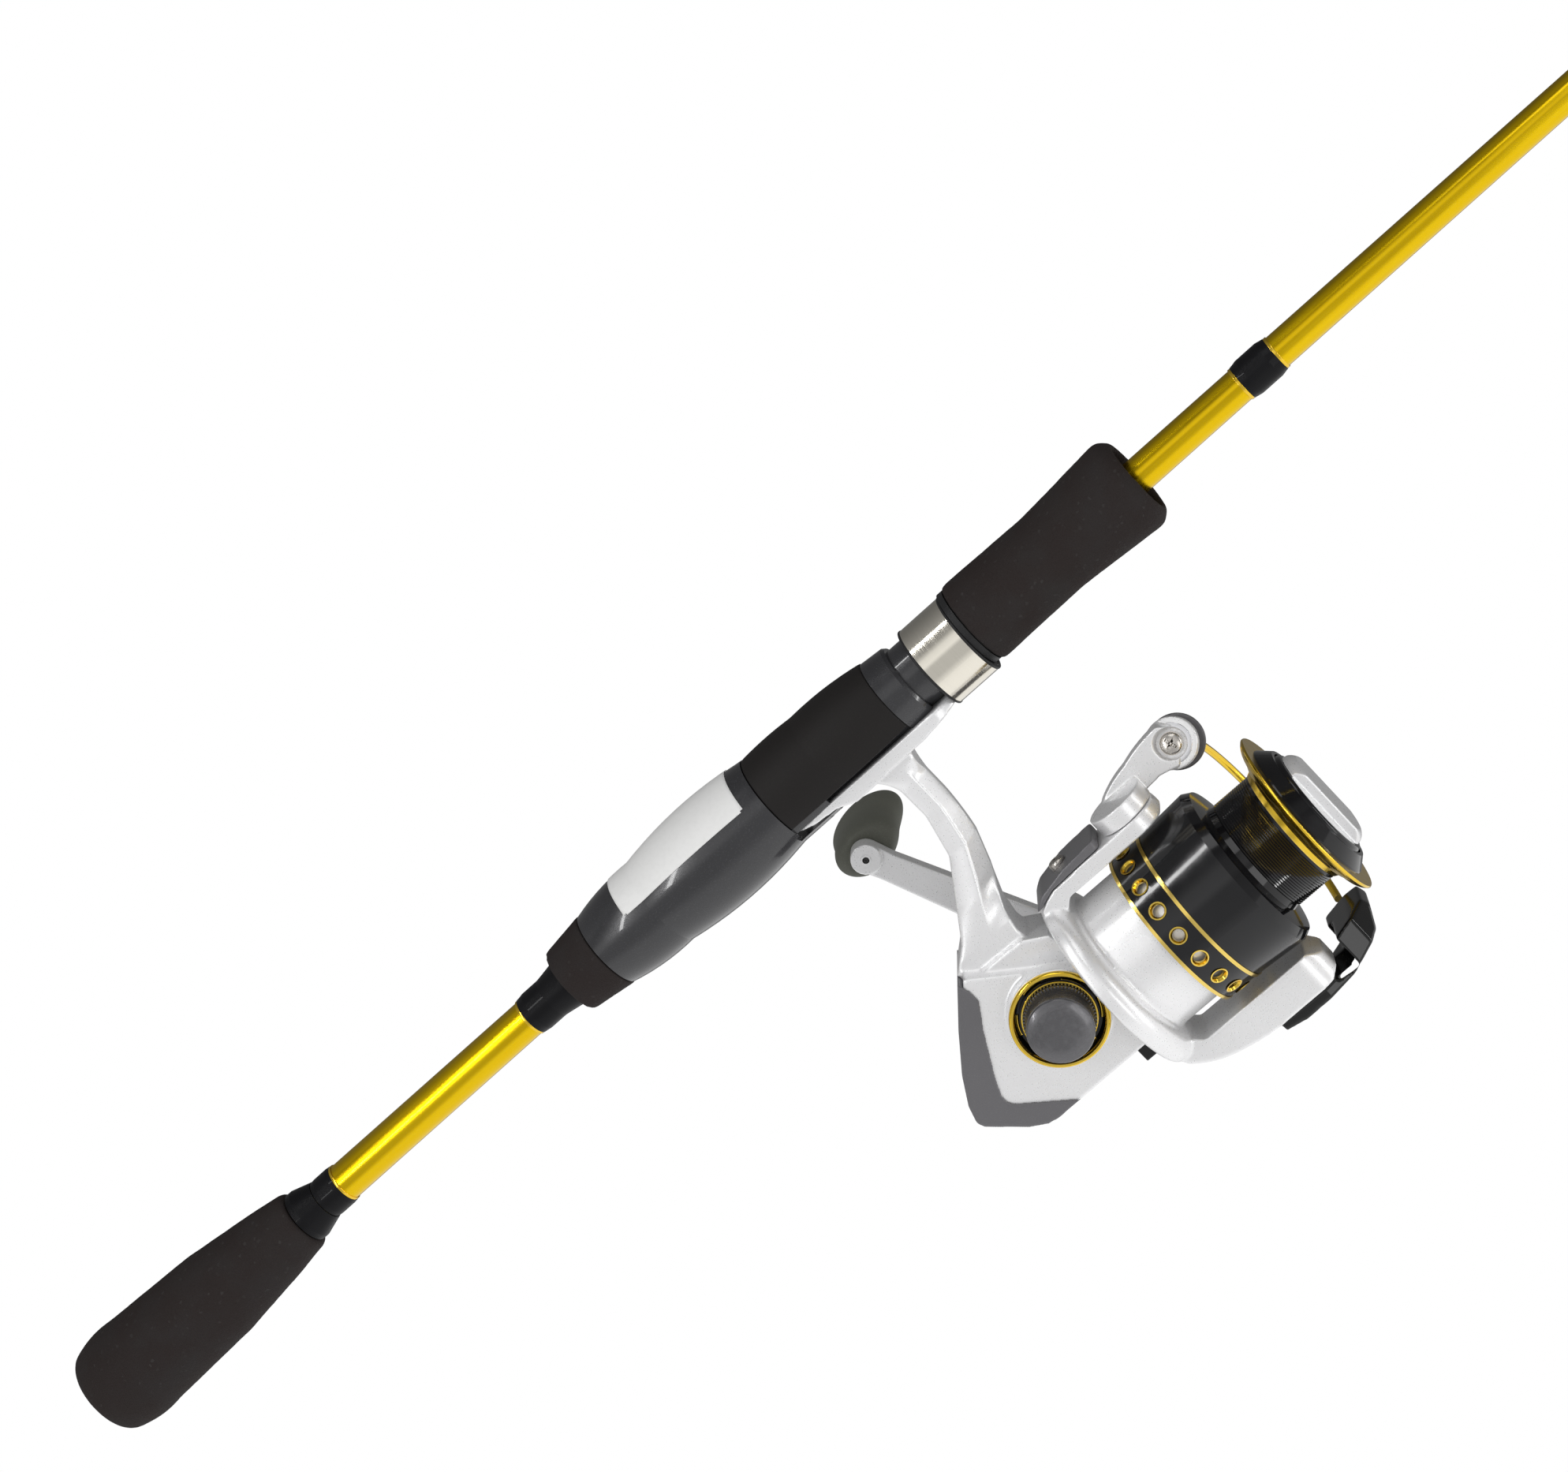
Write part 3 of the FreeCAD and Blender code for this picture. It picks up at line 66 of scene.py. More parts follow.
# Camera and light --------------------------------------------------------------------------------

def camera():
    """The photograph's view: the rod rises to the upper right, turned a little towards the camera."""
    tip_turn, reel_tilt, roll = math.radians(12.7), math.radians(10.5), math.radians(41.8)
    distance, drop, aim = 0.925, 0.0098, Vector((-0.018, 0, 0))
    focal_in_widths = 4900 / 1988
    along = Vector((math.cos(tip_turn), math.sin(tip_turn) * math.cos(reel_tilt),
                    -math.sin(tip_turn) * math.sin(reel_tilt)))
    down = Vector((0, -math.sin(reel_tilt), -math.cos(reel_tilt)))
    back = Vector((math.sin(tip_turn), -math.cos(tip_turn) * math.cos(reel_tilt),
                   math.cos(tip_turn) * math.sin(reel_tilt)))
    right = along * math.cos(roll) + down * math.sin(roll)
    up = along * math.sin(roll) - down * math.cos(roll)
    data = bpy.data.cameras.new("camera")
    data.sensor_width = 36
    data.lens = focal_in_widths * data.sensor_width
    data.clip_start, data.clip_end = 0.02, 50
    eye = bpy.data.objects.new("camera", data)
    place = aim + back * distance - down * drop
    turn = Matrix((right, up, back)).transposed().to_4x4()
    eye.matrix_world = Matrix.Translation(place) @ turn
    bpy.context.scene.collection.objects.link(eye)
    bpy.context.scene.camera = eye
    return right, up, back


def area_light(name, place, target, wide, tall, power):
    data = bpy.data.lights.new(name, "AREA")
    data.shape = "RECTANGLE"
    data.size, data.size_y = wide, tall
    data.energy = power
    lamp = bpy.data.objects.new(name, data)
    way = (Vector(target) - Vector(place)).normalized()
    lamp.matrix_world = Matrix.Translation(place) @ way.to_track_quat("-Z", "Y").to_matrix().to_4x4()
    bpy.context.scene.collection.objects.link(lamp)


def place_stops(ramp, stops):
    """Set a colour ramp to grey levels at the given places."""
    ends = ramp.color_ramp.elements
    ends[0].color = (*[stops[0][1]] * 3, 1)
    ends[1].color = (*[stops[-1][1]] * 3, 1)
    for stop_at, level in stops[1:-1]:
        ends.new(stop_at).color = (level, level, level, 1)


def studio(right, up, back):
    """White surroundings that the camera sees, and for reflections a room that is bright on the camera's
    side and below and greyer towards the tip and above, with dark flags along the rod, softboxes and
    narrow strips."""
    bright_side = Vector((-0.42, -0.78, -0.46)).normalized()
    across_rod = right * 0.683 - up * 0.73
    world = bpy.data.worlds.new("studio")
    bpy.context.scene.world = world
    world.use_nodes = True
    tree = world.node_tree
    tree.nodes.clear()
    out = tree.nodes.new("ShaderNodeOutputWorld")
    seen = tree.nodes.new("ShaderNodeBackground")
    seen.inputs["Color"].default_value = (1, 1, 1, 1)
    around = tree.nodes.new("ShaderNodeBackground")
    around.inputs["Strength"].default_value = ROOM_LEVEL
    coords = tree.nodes.new("ShaderNodeTexCoord")
    facing = tree.nodes.new("ShaderNodeVectorMath")
    facing.operation = "DOT_PRODUCT"
    facing.inputs[1].default_value = bright_side
    tree.links.new(coords.outputs["Generated"], facing.inputs[0])
    remap = tree.nodes.new("ShaderNodeMapRange")
    remap.inputs["From Min"].default_value = -1
    tree.links.new(facing.outputs["Value"], remap.inputs["Value"])
    ramp = tree.nodes.new("ShaderNodeValToRGB")
    tree.links.new(remap.outputs[0], ramp.inputs[0])
    place_stops(ramp, ROOM_STOPS)
    shade = tree.nodes.new("ShaderNodeValToRGB")
    place_stops(shade, FLAG_STOPS)
    turn = tree.nodes.new("ShaderNodeMath")
    turn.operation = "ARCTAN2"
    for index, way in enumerate((across_rod, back)):
        part = tree.nodes.new("ShaderNodeVectorMath")
        part.operation = "DOT_PRODUCT"
        part.inputs[1].default_value = way
        tree.links.new(coords.outputs["Generated"], part.inputs[0])
        tree.links.new(part.outputs["Value"], turn.inputs[index])
    spread = tree.nodes.new("ShaderNodeMapRange")
    spread.inputs["From Min"].default_value = -math.pi
    spread.inputs["From Max"].default_value = math.pi
    tree.links.new(turn.outputs[0], spread.inputs["Value"])
    tree.links.new(spread.outputs[0], shade.inputs[0])
    both = tree.nodes.new("ShaderNodeVectorMath")
    both.operation = "MULTIPLY"
    tree.links.new(ramp.outputs["Color"], both.inputs[0])
    tree.links.new(shade.outputs["Color"], both.inputs[1])
    tree.links.new(both.outputs[0], around.inputs["Color"])
    path = tree.nodes.new("ShaderNodeLightPath")
    mix = tree.nodes.new("ShaderNodeMixShader")
    tree.links.new(path.outputs["Is Camera Ray"], mix.inputs[0])
    tree.links.new(around.outputs[0], mix.inputs[1])
    tree.links.new(seen.outputs[0], mix.inputs[2])
    tree.links.new(mix.outputs[0], out.inputs["Surface"])

    middle = Vector((0.03, 0, -0.04))
    area_light("key", middle + up * 0.9 + back * 0.7 - right * 0.25, middle, 0.9, 0.5, 2.2)
    area_light("front", middle + back * 1.2 + right * 0.6 - up * 0.2, middle, 0.4, 0.9, 2.0)
    area_light("strip_left", middle - right * 0.9 + back * 0.7 + up * 0.1, middle, 0.05, 1.1, 3.4)
    area_light("strip_right", middle + right * 1.0 + back * 0.5 + up * 0.3, middle, 0.05, 1.0, 2.2)
    bpy.context.scene.view_settings.view_transform = "Standard"


def floor():
    """A plain pale floor, bright enough to read as white, well below the hanging reel."""
    bpy.ops.mesh.primitive_plane_add(size=3.0, location=(0.6, 0, -1.1))
    sheet = bpy.context.object
    sheet.name = "floor"
    mat = bpy.data.materials.new("floor_paper")
    mat.use_nodes = True
    tree = mat.node_tree
    shader = tree.nodes["Principled BSDF"]
    shader.inputs["Roughness"].default_value = 0.9
    shader.inputs["Emission Strength"].default_value = 0.72
    shader.inputs["Emission Color"].default_value = (1, 1, 1, 1)
    grain = tree.nodes.new("ShaderNodeTexNoise")
    grain.inputs["Scale"].default_value = 300
    ramp = tree.nodes.new("ShaderNodeValToRGB")
    ramp.color_ramp.elements[0].color = (0.50, 0.50, 0.50, 1)
    ramp.color_ramp.elements[1].color = (0.55, 0.55, 0.55, 1)
    tree.links.new(grain.outputs["Fac"], ramp.inputs[0])
    tree.links.new(ramp.outputs[0], shader.inputs["Base Color"])
    sheet.data.materials.append(mat)


# Materials ---------------------------------------------------------------------------------------

class Finish:
    """One procedural material: a Principled shader with small helpers that add detail to it.

    Patterns read object coordinates, which are the row frame in metres, so a scale of 1000 repeats
    about every millimetre.
    """

    def __init__(self, name, colour, metallic=0.0, roughness=0.4, coat=0.0, coat_roughness=0.1):
        self.mat = bpy.data.materials.new(name)
        self.mat.use_nodes = True
        self.tree = self.mat.node_tree
        self.shader = self.tree.nodes["Principled BSDF"]
        self.coords = self.tree.nodes.new("ShaderNodeTexCoord")
        self.put("Metallic", metallic)
        self.put("Coat Weight", coat)
        self.put("Coat Roughness", coat_roughness)
        self.colour = self.tree.nodes.new("ShaderNodeRGB").outputs[0]
        self.colour.default_value = (*colour, 1)
        self.rough = roughness
        self.bump_from = None

    def put(self, socket, value):
        self.shader.inputs[socket].default_value = value
        return self

    def mapped(self, stretch=(1, 1, 1)):
        place = self.tree.nodes.new("ShaderNodeMapping")
        place.inputs["Scale"].default_value = stretch
        self.tree.links.new(self.coords.outputs["Object"], place.inputs[0])
        return place.outputs[0]

    def noise(self, scale, detail=2.0, stretch=(1, 1, 1), roughness=0.5):
        node = self.tree.nodes.new("ShaderNodeTexNoise")
        node.inputs["Scale"].default_value = scale
        node.inputs["Detail"].default_value = detail
        node.inputs["Roughness"].default_value = roughness
        self.tree.links.new(self.mapped(stretch), node.inputs["Vector"])
        return node.outputs["Fac"]

    def cells(self, scale, feature="F1", output="Color"):
        node = self.tree.nodes.new("ShaderNodeTexVoronoi")
        node.feature = feature
        node.inputs["Scale"].default_value = scale
        self.tree.links.new(self.mapped(), node.inputs["Vector"])
        return node.outputs[output]

    def ranged(self, value, low, high, to_low, to_high):
        node = self.tree.nodes.new("ShaderNodeMapRange")
        node.inputs["From Min"].default_value = low
        node.inputs["From Max"].default_value = high
        node.inputs["To Min"].default_value = to_low
        node.inputs["To Max"].default_value = to_high
        self.tree.links.new(value, node.inputs["Value"])
        return node.outputs[0]

    def tint(self, factor, other):
        """Blend the colour so far with another by a factor."""
        node = self.tree.nodes.new("ShaderNodeMix")
        node.data_type = "RGBA"
        node.inputs[7].default_value = (*other, 1)
        self.tree.links.new(self.colour, node.inputs[6])
        self.tree.links.new(factor, node.inputs[0])
        self.colour = node.outputs[2]
        return self

    def roughen(self, factor, low, high, to_low, to_high):
        level = self.ranged(factor, low, high, to_low, to_high)
        self.tree.links.new(level, self.shader.inputs["Roughness"])
        self.rough = None
        return self

    def bump(self, height, distance, strength=1.0):
        node = self.tree.nodes.new("ShaderNodeBump")
        node.inputs["Strength"].default_value = strength
        node.inputs["Distance"].default_value = distance
        self.tree.links.new(height, node.inputs["Height"])
        if self.bump_from:
            self.tree.links.new(self.bump_from, node.inputs["Normal"])
        self.bump_from = node.outputs[0]
        return self

    def worn_edges(self, colour, amount=0.35):
        """Lighter, rubbed edges where the surface turns sharply."""
        geometry = self.tree.nodes.new("ShaderNodeNewGeometry")
        edge = self.ranged(geometry.outputs["Pointiness"], 0.53, 0.60, 0.0, amount)
        return self.tint(edge, colour)

    def done(self):
        self.tree.links.new(self.colour, self.shader.inputs["Base Color"])
        if self.rough is not None:
            self.roughen(self.noise(400), 0.3, 0.7, self.rough * 0.92, self.rough * 1.08)
        if self.bump_from:
            self.tree.links.new(self.bump_from, self.shader.inputs["Normal"])
        return self.mat


def silver_paint(name="silver_paint", colour=(0.93, 0.93, 0.935)):
    """Silver metallic paint: fine bright flakes under clear lacquer, with slight orange peel."""
    paint = Finish(name, colour, metallic=0.45, coat=0.35, coat_roughness=0.05)
    flakes = paint.cells(5200)
    paint.tint(paint.ranged(flakes, 0.55, 1.0, 0.0, 0.7), (0.97, 0.97, 0.98))
    paint.tint(paint.ranged(flakes, 0.0, 0.25, 0.25, 0.0), (0.60, 0.60, 0.62))
    paint.tint(paint.ranged(paint.noise(35, 2), 0.4, 0.65, 0.0, 0.12), (0.80, 0.80, 0.82))
    paint.roughen(flakes, 0, 1, 0.32 * 0.8, 0.32 * 1.25)
    paint.bump(flakes, 0.00002, 0.25)
    paint.bump(paint.noise(700, 2), 0.00002, 0.3)
    return paint.done()


def grey_satin(name, colour):
    """Dark grey satin paint with a fine mineral grain."""
    paint = Finish(name, colour, metallic=0.25, coat=0.3, coat_roughness=0.2)
    grain = paint.noise(4200, 2)
    paint.tint(paint.ranged(grain, 0.55, 0.8, 0.0, 0.35), tuple(min(1, c * 1.9) for c in colour))
    paint.tint(paint.ranged(paint.noise(60, 3), 0.35, 0.7, 0.0, 0.12), tuple(c * 0.6 for c in colour))
    paint.roughen(grain, 0.3, 0.7, 0.38 * 0.85, 0.38 * 1.2)
    paint.bump(grain, 0.00003, 0.3)
    return paint.done()


def gold_lacquer():
    """Bright gold blank: fine lengthwise polish under a deep clear coat."""
    gold = Finish("gold_lacquer", (0.82, 0.535, 0.003), metallic=1.0, coat=0.12, coat_roughness=0.04)
    streaks = gold.noise(900, 3, stretch=(0.03, 1, 1))
    gold.tint(gold.ranged(streaks, 0.45, 0.75, 0.0, 0.35), (0.90, 0.64, 0.008))
    flakes = gold.cells(5200)
    gold.tint(gold.ranged(flakes, 0.6, 1.0, 0.0, 0.2), (0.96, 0.74, 0.03))
    gold.roughen(streaks, 0.3, 0.7, 0.16, 0.26)
    gold.bump(gold.noise(260, 2, stretch=(0.25, 1, 1)), 0.00003, 0.3)
    return gold.done()


def gold_anodised():
    """Gold anodised metal with fine turning lines."""
    gold = Finish("gold_anodised", (0.90, 0.60, 0.05), metallic=1.0, coat=0.1, coat_roughness=0.05)
    lines = gold.noise(1500, 2, stretch=(2.5, 0.25, 0.25))
    gold.tint(gold.ranged(lines, 0.5, 0.8, 0.0, 0.3), (0.98, 0.74, 0.16))
    gold.roughen(lines, 0.3, 0.7, 0.16 * 0.7, 0.16 * 1.5)
    gold.bump(lines, 0.00001, 0.4)
    return gold.worn_edges((0.99, 0.86, 0.45), 0.3).done()


def foam():
    """Closed-cell foam grip: matte black with open pores and a few grey specks."""
    eva = Finish("eva_foam", (0.026, 0.0205, 0.0195))
    eva.put("Specular IOR Level", 0.12)
    pores = eva.cells(2600, "F1", "Distance")
    specks = eva.cells(1500)
    eva.tint(eva.ranged(specks, 0.86, 0.95, 0.0, 0.22), (0.09, 0.09, 0.088))
    eva.tint(eva.ranged(eva.noise(120, 4), 0.4, 0.7, 0.0, 0.4), (0.032, 0.031, 0.031))
    eva.roughen(pores, 0, 0.6, 0.95, 0.72)
    eva.bump(pores, 0.00012, 0.55)
    eva.bump(eva.noise(900, 3), 0.00008, 0.35)
    return eva.done()


def gloss_black(name, colour=(0.008, 0.008, 0.009), rough=0.12):
    """Black gloss plastic or anodised metal with faint smears."""
    black = Finish(name, colour, coat=0.25, coat_roughness=0.03)
    black.put("Specular IOR Level", 0.35)
    smear = black.noise(55, 4, roughness=0.6)
    black.tint(black.ranged(smear, 0.45, 0.75, 0.0, 0.3), tuple(c * 2 for c in colour))
    black.roughen(smear, 0.3, 0.7, rough * 0.7, rough * 1.6)
    black.bump(black.noise(1800, 2), 0.00001, 0.25)
    return black.done()


def matte_black(name, colour=(0.018, 0.018, 0.019), rough=0.62):
    """Moulded matte plastic or soft rubber with a spark-eroded grain."""
    soft = Finish(name, colour)
    soft.put("Specular IOR Level", 0.2)
    grain = soft.noise(2600, 3)
    soft.tint(soft.ranged(grain, 0.5, 0.8, 0.0, 0.4), tuple(min(1, c * 2.2) for c in colour))
    soft.roughen(grain, 0.3, 0.7, rough * 0.85, rough * 1.15)
    soft.bump(grain, 0.00005, 0.5)
    return soft.done()


def cap_finish():
    """Smoke-grey lacquered cap with fine turning marks."""
    cap = Finish("cap_grey", (0.125, 0.123, 0.130), metallic=0.55, coat=0.4, coat_roughness=0.08)
    marks = cap.noise(1800, 2, stretch=(0.4, 2.5, 0.4))
    cap.tint(cap.ranged(marks, 0.5, 0.8, 0.0, 0.3), (0.21, 0.21, 0.22))
    cap.tint(cap.ranged(cap.noise(90, 2), 0.4, 0.7, 0.0, 0.25), (0.08, 0.08, 0.085))
    cap.roughen(marks, 0.3, 0.7, 0.22, 0.36)
    cap.bump(marks, 0.00001, 0.3)
    return cap.done()


def seat_gloss():
    """Dark grey gloss barrel with a faint pearl."""
    barrel = Finish("seat_gloss", (0.024, 0.024, 0.027), metallic=0.1, coat=0.5, coat_roughness=0.06)
    pearl = barrel.cells(4200)
    barrel.tint(barrel.ranged(pearl, 0.7, 1.0, 0.0, 0.22), (0.12, 0.12, 0.13))
    barrel.tint(barrel.ranged(barrel.noise(40, 3), 0.4, 0.7, 0.0, 0.2), (0.018, 0.018, 0.020))
    barrel.roughen(barrel.noise(120, 3), 0.3, 0.7, 0.16, 0.30)
    barrel.bump(barrel.noise(500, 2), 0.00002, 0.25)
    return barrel.done()


def brushed(name, colour, rough=0.28, stretch=(0.05, 1, 1), scale=2600, contrast=1.0):
    """Brushed or turned metal whose lines run along the axis with the small stretch."""
    metal = Finish(name, colour, metallic=1.0)
    lines = metal.noise(scale, 3, stretch=stretch)
    bright, dark = tuple(min(1, c * 1.22) for c in colour), tuple(c * 0.72 for c in colour)
    metal.tint(metal.ranged(lines, 0.45, 0.8, 0.0, 0.4 * contrast), bright)
    metal.tint(metal.ranged(lines, 0.2, 0.42, 0.35 * contrast, 0.0), dark)
    metal.roughen(lines, 0.3, 0.7, rough * 0.8, rough * 1.3)
    metal.bump(lines, 0.00002, 0.35)
    return metal.worn_edges(tuple(min(1, c * 1.3) for c in colour), 0.3).done()


def olive_rubber():
    """Soft-touch olive-grey handle knob with a fine even grain."""
    rubber = Finish("olive_rubber", (0.115, 0.118, 0.098))
    grain = rubber.noise(3000, 3)
    rubber.tint(rubber.ranged(grain, 0.5, 0.75, 0.0, 0.45), (0.20, 0.205, 0.175))
    rubber.tint(rubber.ranged(rubber.noise(90, 3), 0.4, 0.7, 0.0, 0.25), (0.075, 0.077, 0.064))
    rubber.roughen(grain, 0.3, 0.7, 0.46, 0.62)
    rubber.bump(grain, 0.00004, 0.4)
    rubber.put("Specular IOR Level", 0.25)
    return rubber.done()


def thread_wrap():
    """Black winding thread under clear epoxy: fine turns round the blank."""
    wrap = Finish("thread_wrap", (0.005, 0.005, 0.006), coat=0.06, coat_roughness=0.03)
    wrap.put("Specular IOR Level", 0.1)
    turns = wrap.tree.nodes.new("ShaderNodeTexWave")
    turns.bands_direction = "X"
    turns.inputs["Scale"].default_value = 1100
    turns.inputs["Distortion"].default_value = 0.4
    wrap.tree.links.new(wrap.mapped(), turns.inputs["Vector"])
    wrap.tint(wrap.ranged(turns.outputs["Fac"], 0.6, 1.0, 0.0, 0.4), (0.02, 0.02, 0.022))
    wrap.roughen(turns.outputs["Fac"], 0, 1, 0.28, 0.42)
    wrap.bump(turns.outputs["Fac"], 0.00003, 0.5)
    return wrap.done()


def finishes():
    """One material for each slot of the record."""
    silver = silver_paint()
    return {
        "blank_gold": gold_lacquer(),
        "eva_foam": foam(),
        "wrap_black": thread_wrap(),
        "seat_gloss": seat_gloss(),
        "seat_pad_black": matte_black("seat_pad_rubber", (0.013, 0.0115, 0.011), 0.6),
        "hood_steel": brushed("hood_steel", (0.80, 0.75, 0.66), 0.13, (1, 0.012, 0.012), 4200, 0.5),
        "nut_plastic": matte_black("nut_plastic", (0.02, 0.02, 0.021), 0.42),
        "guide_black": brushed("guide_metal", (0.10, 0.10, 0.11), 0.25, (1, 1, 1)),
        "ring_ceramic": gloss_black("ring_ceramic", (0.03, 0.03, 0.035), 0.1),
        "reel_silver": silver,
        "guard_grey": grey_satin("guard_grey", (0.145, 0.142, 0.15)),
        "screw_steel": brushed("screw_steel", (0.60, 0.57, 0.53), 0.25, (1, 1, 1)),
        "gold_trim": gold_anodised(),
        "bearing_steel": brushed("bearing_steel", (0.60, 0.60, 0.62), 0.2, (1, 1, 1)),
        "black_plastic": gloss_black("black_plastic", (0.007, 0.007, 0.007), 0.1),
        "gear_brass": brushed("gear_brass", (0.68, 0.52, 0.25), 0.3, (1, 1, 1)),
        "shaft_steel": brushed("shaft_steel", (0.64, 0.64, 0.66), 0.2, (0.05, 1, 1)),
        "cap_grey": cap_finish(),
        "handle_silver": silver_paint("handle_paint", (0.86, 0.86, 0.865)),
        "knob_olive": olive_rubber(),
        "roller_steel": brushed("roller_steel", (0.72, 0.72, 0.74), 0.12, (1, 1, 1)),
        "spool_black": gloss_black("spool_anodised", (0.006, 0.006, 0.007), 0.1),
        "drag_silver": silver_paint("drag_paint", (0.90, 0.90, 0.905)),
    }


# Pieces made from CAD shapes ---------------------------------------------------------------------

def settle(piece, body, mat, smooth=True):
    """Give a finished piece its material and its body."""
    piece.data.materials.clear()
    piece.data.materials.append(mat)
    if smooth:
        piece.data.shade_smooth()
    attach(piece, body)
    return piece


def with_modifiers(source_mesh, name, steps):
    """A new object whose mesh is a copy of another with modifiers applied to it."""
    holder = bpy.data.objects.new(name + "_raw", source_mesh.copy())
    bpy.context.scene.collection.objects.link(holder)
    for kind, settings in steps:
        modifier = holder.modifiers.new(kind, kind)
        for key, value in settings.items():
            setattr(modifier, key, value)
    graph = bpy.context.evaluated_depsgraph_get()
    mesh = bpy.data.meshes.new_from_object(holder.evaluated_get(graph))
    mesh.name = name
    bpy.data.objects.remove(holder, do_unlink=True)
    piece = bpy.data.objects.new(name, mesh)
    bpy.context.scene.collection.objects.link(piece)
    return piece


def cast(node, voxel, rounds, shape=None):
    """A softened copy of a CAD shape, with the rounded edges of a casting, that stands for its node."""
    piece = with_modifiers(NODES[node].data, node + "_cast", [
        ("REMESH", {"mode": "VOXEL", "voxel_size": voxel * MM}),
        ("SMOOTH", {"factor": 0.5, "iterations": rounds})])
    if shape:
        for vert in piece.data.vertices:
            vert.co = shape(vert.co)
    settle(piece, BODY_OF[node], MATS[SLOT_OF[node]])
    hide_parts(node)
    return piece


def foam_piece(node, voxel=0.9, grain=0.09):
    """A foam sleeve: the CAD shape with softened ends and a very slightly uneven, porous skin."""
    piece = with_modifiers(NODES[node].data, node + "_foam", [
        ("REMESH", {"mode": "VOXEL", "voxel_size": voxel * MM}),
        ("SMOOTH", {"factor": 0.5, "iterations": 5}),
        ("SUBSURF", {"levels": 1, "render_levels": 1})])
    for vert in piece.data.vertices:
        out = Vector((0, vert.co.y, vert.co.z))
        radius = out.length
        if radius < 1e-5:
            continue
        swell = noise.noise(vert.co * 140) * 0.6 + noise.noise(vert.co * 900) * 0.4
        vert.co += out * (swell * grain * MM / radius)
    settle(piece, BODY_OF[node], MATS[SLOT_OF[node]])
    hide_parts(node)
    return piece


def from_bmesh(bm, name):
    bmesh.ops.recalc_face_normals(bm, faces=bm.faces)
    mesh = bpy.data.meshes.new(name)
    bm.to_mesh(mesh)
    bm.free()
    piece = bpy.data.objects.new(name, mesh)
    bpy.context.scene.collection.objects.link(piece)
    return piece


def frame_on(axis, at):
    """A placement whose X axis lies along the given axis through a point."""
    along = Vector(axis).normalized()
    side = along.cross(Vector((0, 0, 1)))
    if side.length < 1e-3:
        side = along.cross(Vector((0, 1, 0)))
    side.normalize()
    third = along.cross(side)
    turn = Matrix((along, side, third)).transposed().to_4x4()
    return Matrix.Translation(at) @ turn


def lathe(bm, profile, placement, steps=96, closed=True, spread=(0, 360)):
    """Turn (along, radius) corners in millimetres about the placement's X axis into a mesh."""
    full = spread == (0, 360)
    count = steps if full else steps + 1
    loops = []
    for step in range(count):
        angle = math.radians(spread[0] + (spread[1] - spread[0]) * step / steps)
        turn = (math.cos(angle), math.sin(angle))
        loops.append([bm.verts.new(placement @ Vector((x * MM, r * MM * turn[0], r * MM * turn[1])))
                      for x, r in profile])
    size = len(profile)
    for step in range(steps):
        here, there = loops[step], loops[(step + 1) % count]
        for index in range(size if closed else size - 1):
            nxt = (index + 1) % size
            bm.faces.new((here[index], here[nxt], there[nxt], there[index]))
    if not full and closed:
        bm.faces.new(loops[0])
        bm.faces.new(loops[-1][::-1])


def rounded_ring(bm, start, end, inner, outer, round_by, placement, steps=96, spread=(0, 360)):
    """A ring of rectangular section with rounded outer corners."""
    turns = [math.pi / 8 * index for index in range(5)]
    corners = [(start, inner)]
    corners += [(start + round_by * (1 - math.cos(turn)), outer - round_by * (1 - math.sin(turn)))
                for turn in turns]
    corners += [(end - round_by * (1 - math.sin(turn)), outer - round_by * (1 - math.cos(turn)))
                for turn in turns]
    corners.append((end, inner))
    lathe(bm, corners, placement, steps, spread=spread)


def block(bm, centre, half, placement, bevel=0.0):
    """A box in millimetres with bevelled edges, in a placement."""
    made = bmesh.ops.create_cube(bm, size=2)
    for vert in made["verts"]:
        vert.co = Vector([(c + v * h) * MM for c, v, h in zip(centre, vert.co, half)])
    if bevel:
        edges = list({edge for vert in made["verts"] for edge in vert.link_edges})
        cut = bmesh.ops.bevel(bm, geom=edges, offset=bevel * MM, segments=3, affect="EDGES", profile=0.5)
        verts = {vert for face in cut["faces"] for vert in face.verts} | {
            vert for vert in made["verts"] if vert.is_valid}
    else:
        verts = made["verts"]
    for vert in verts:
        vert.co = placement @ vert.co


SHAFT = frame_on((1, 0, 0), Vector((0, 0, SHAFT_Z)))
ROD = frame_on((1, 0, 0), Vector((0, 0, 0)))
CRANK = frame_on((0, 1, 0), Vector((HANDLE_X, 0, HANDLE_Z)))

# Places along the shaft in millimetres: the front of the gold lip, and the drag knob's edge and face
LIP_FRONT = 61.45
DIAL_EDGE, DIAL_FACE = 65.4, 65.75


# The reel's castings -----------------------------------------------------------------------------

def along_table(table, value):
    """Straight-line lookup in rows whose first number falls."""
    for (high, *first), (low, *second) in zip(table, table[1:]):
        if low <= value <= high:
            share = (high - value) / (high - low)
            return [a + (b - a) * share for a, b in zip(first, second)]
    return None


# (height, rear edge, front edge) of the stem in millimetres
STEM = [(-14, -10.5, 4.0), (-18, -5.9, 2.1), (-27, -5.7, 2.1), (-38, -8.2, 0.6), (-46.7, -14, -2.6),
        (-56.4, -21, -7), (-63, -26, -8)]


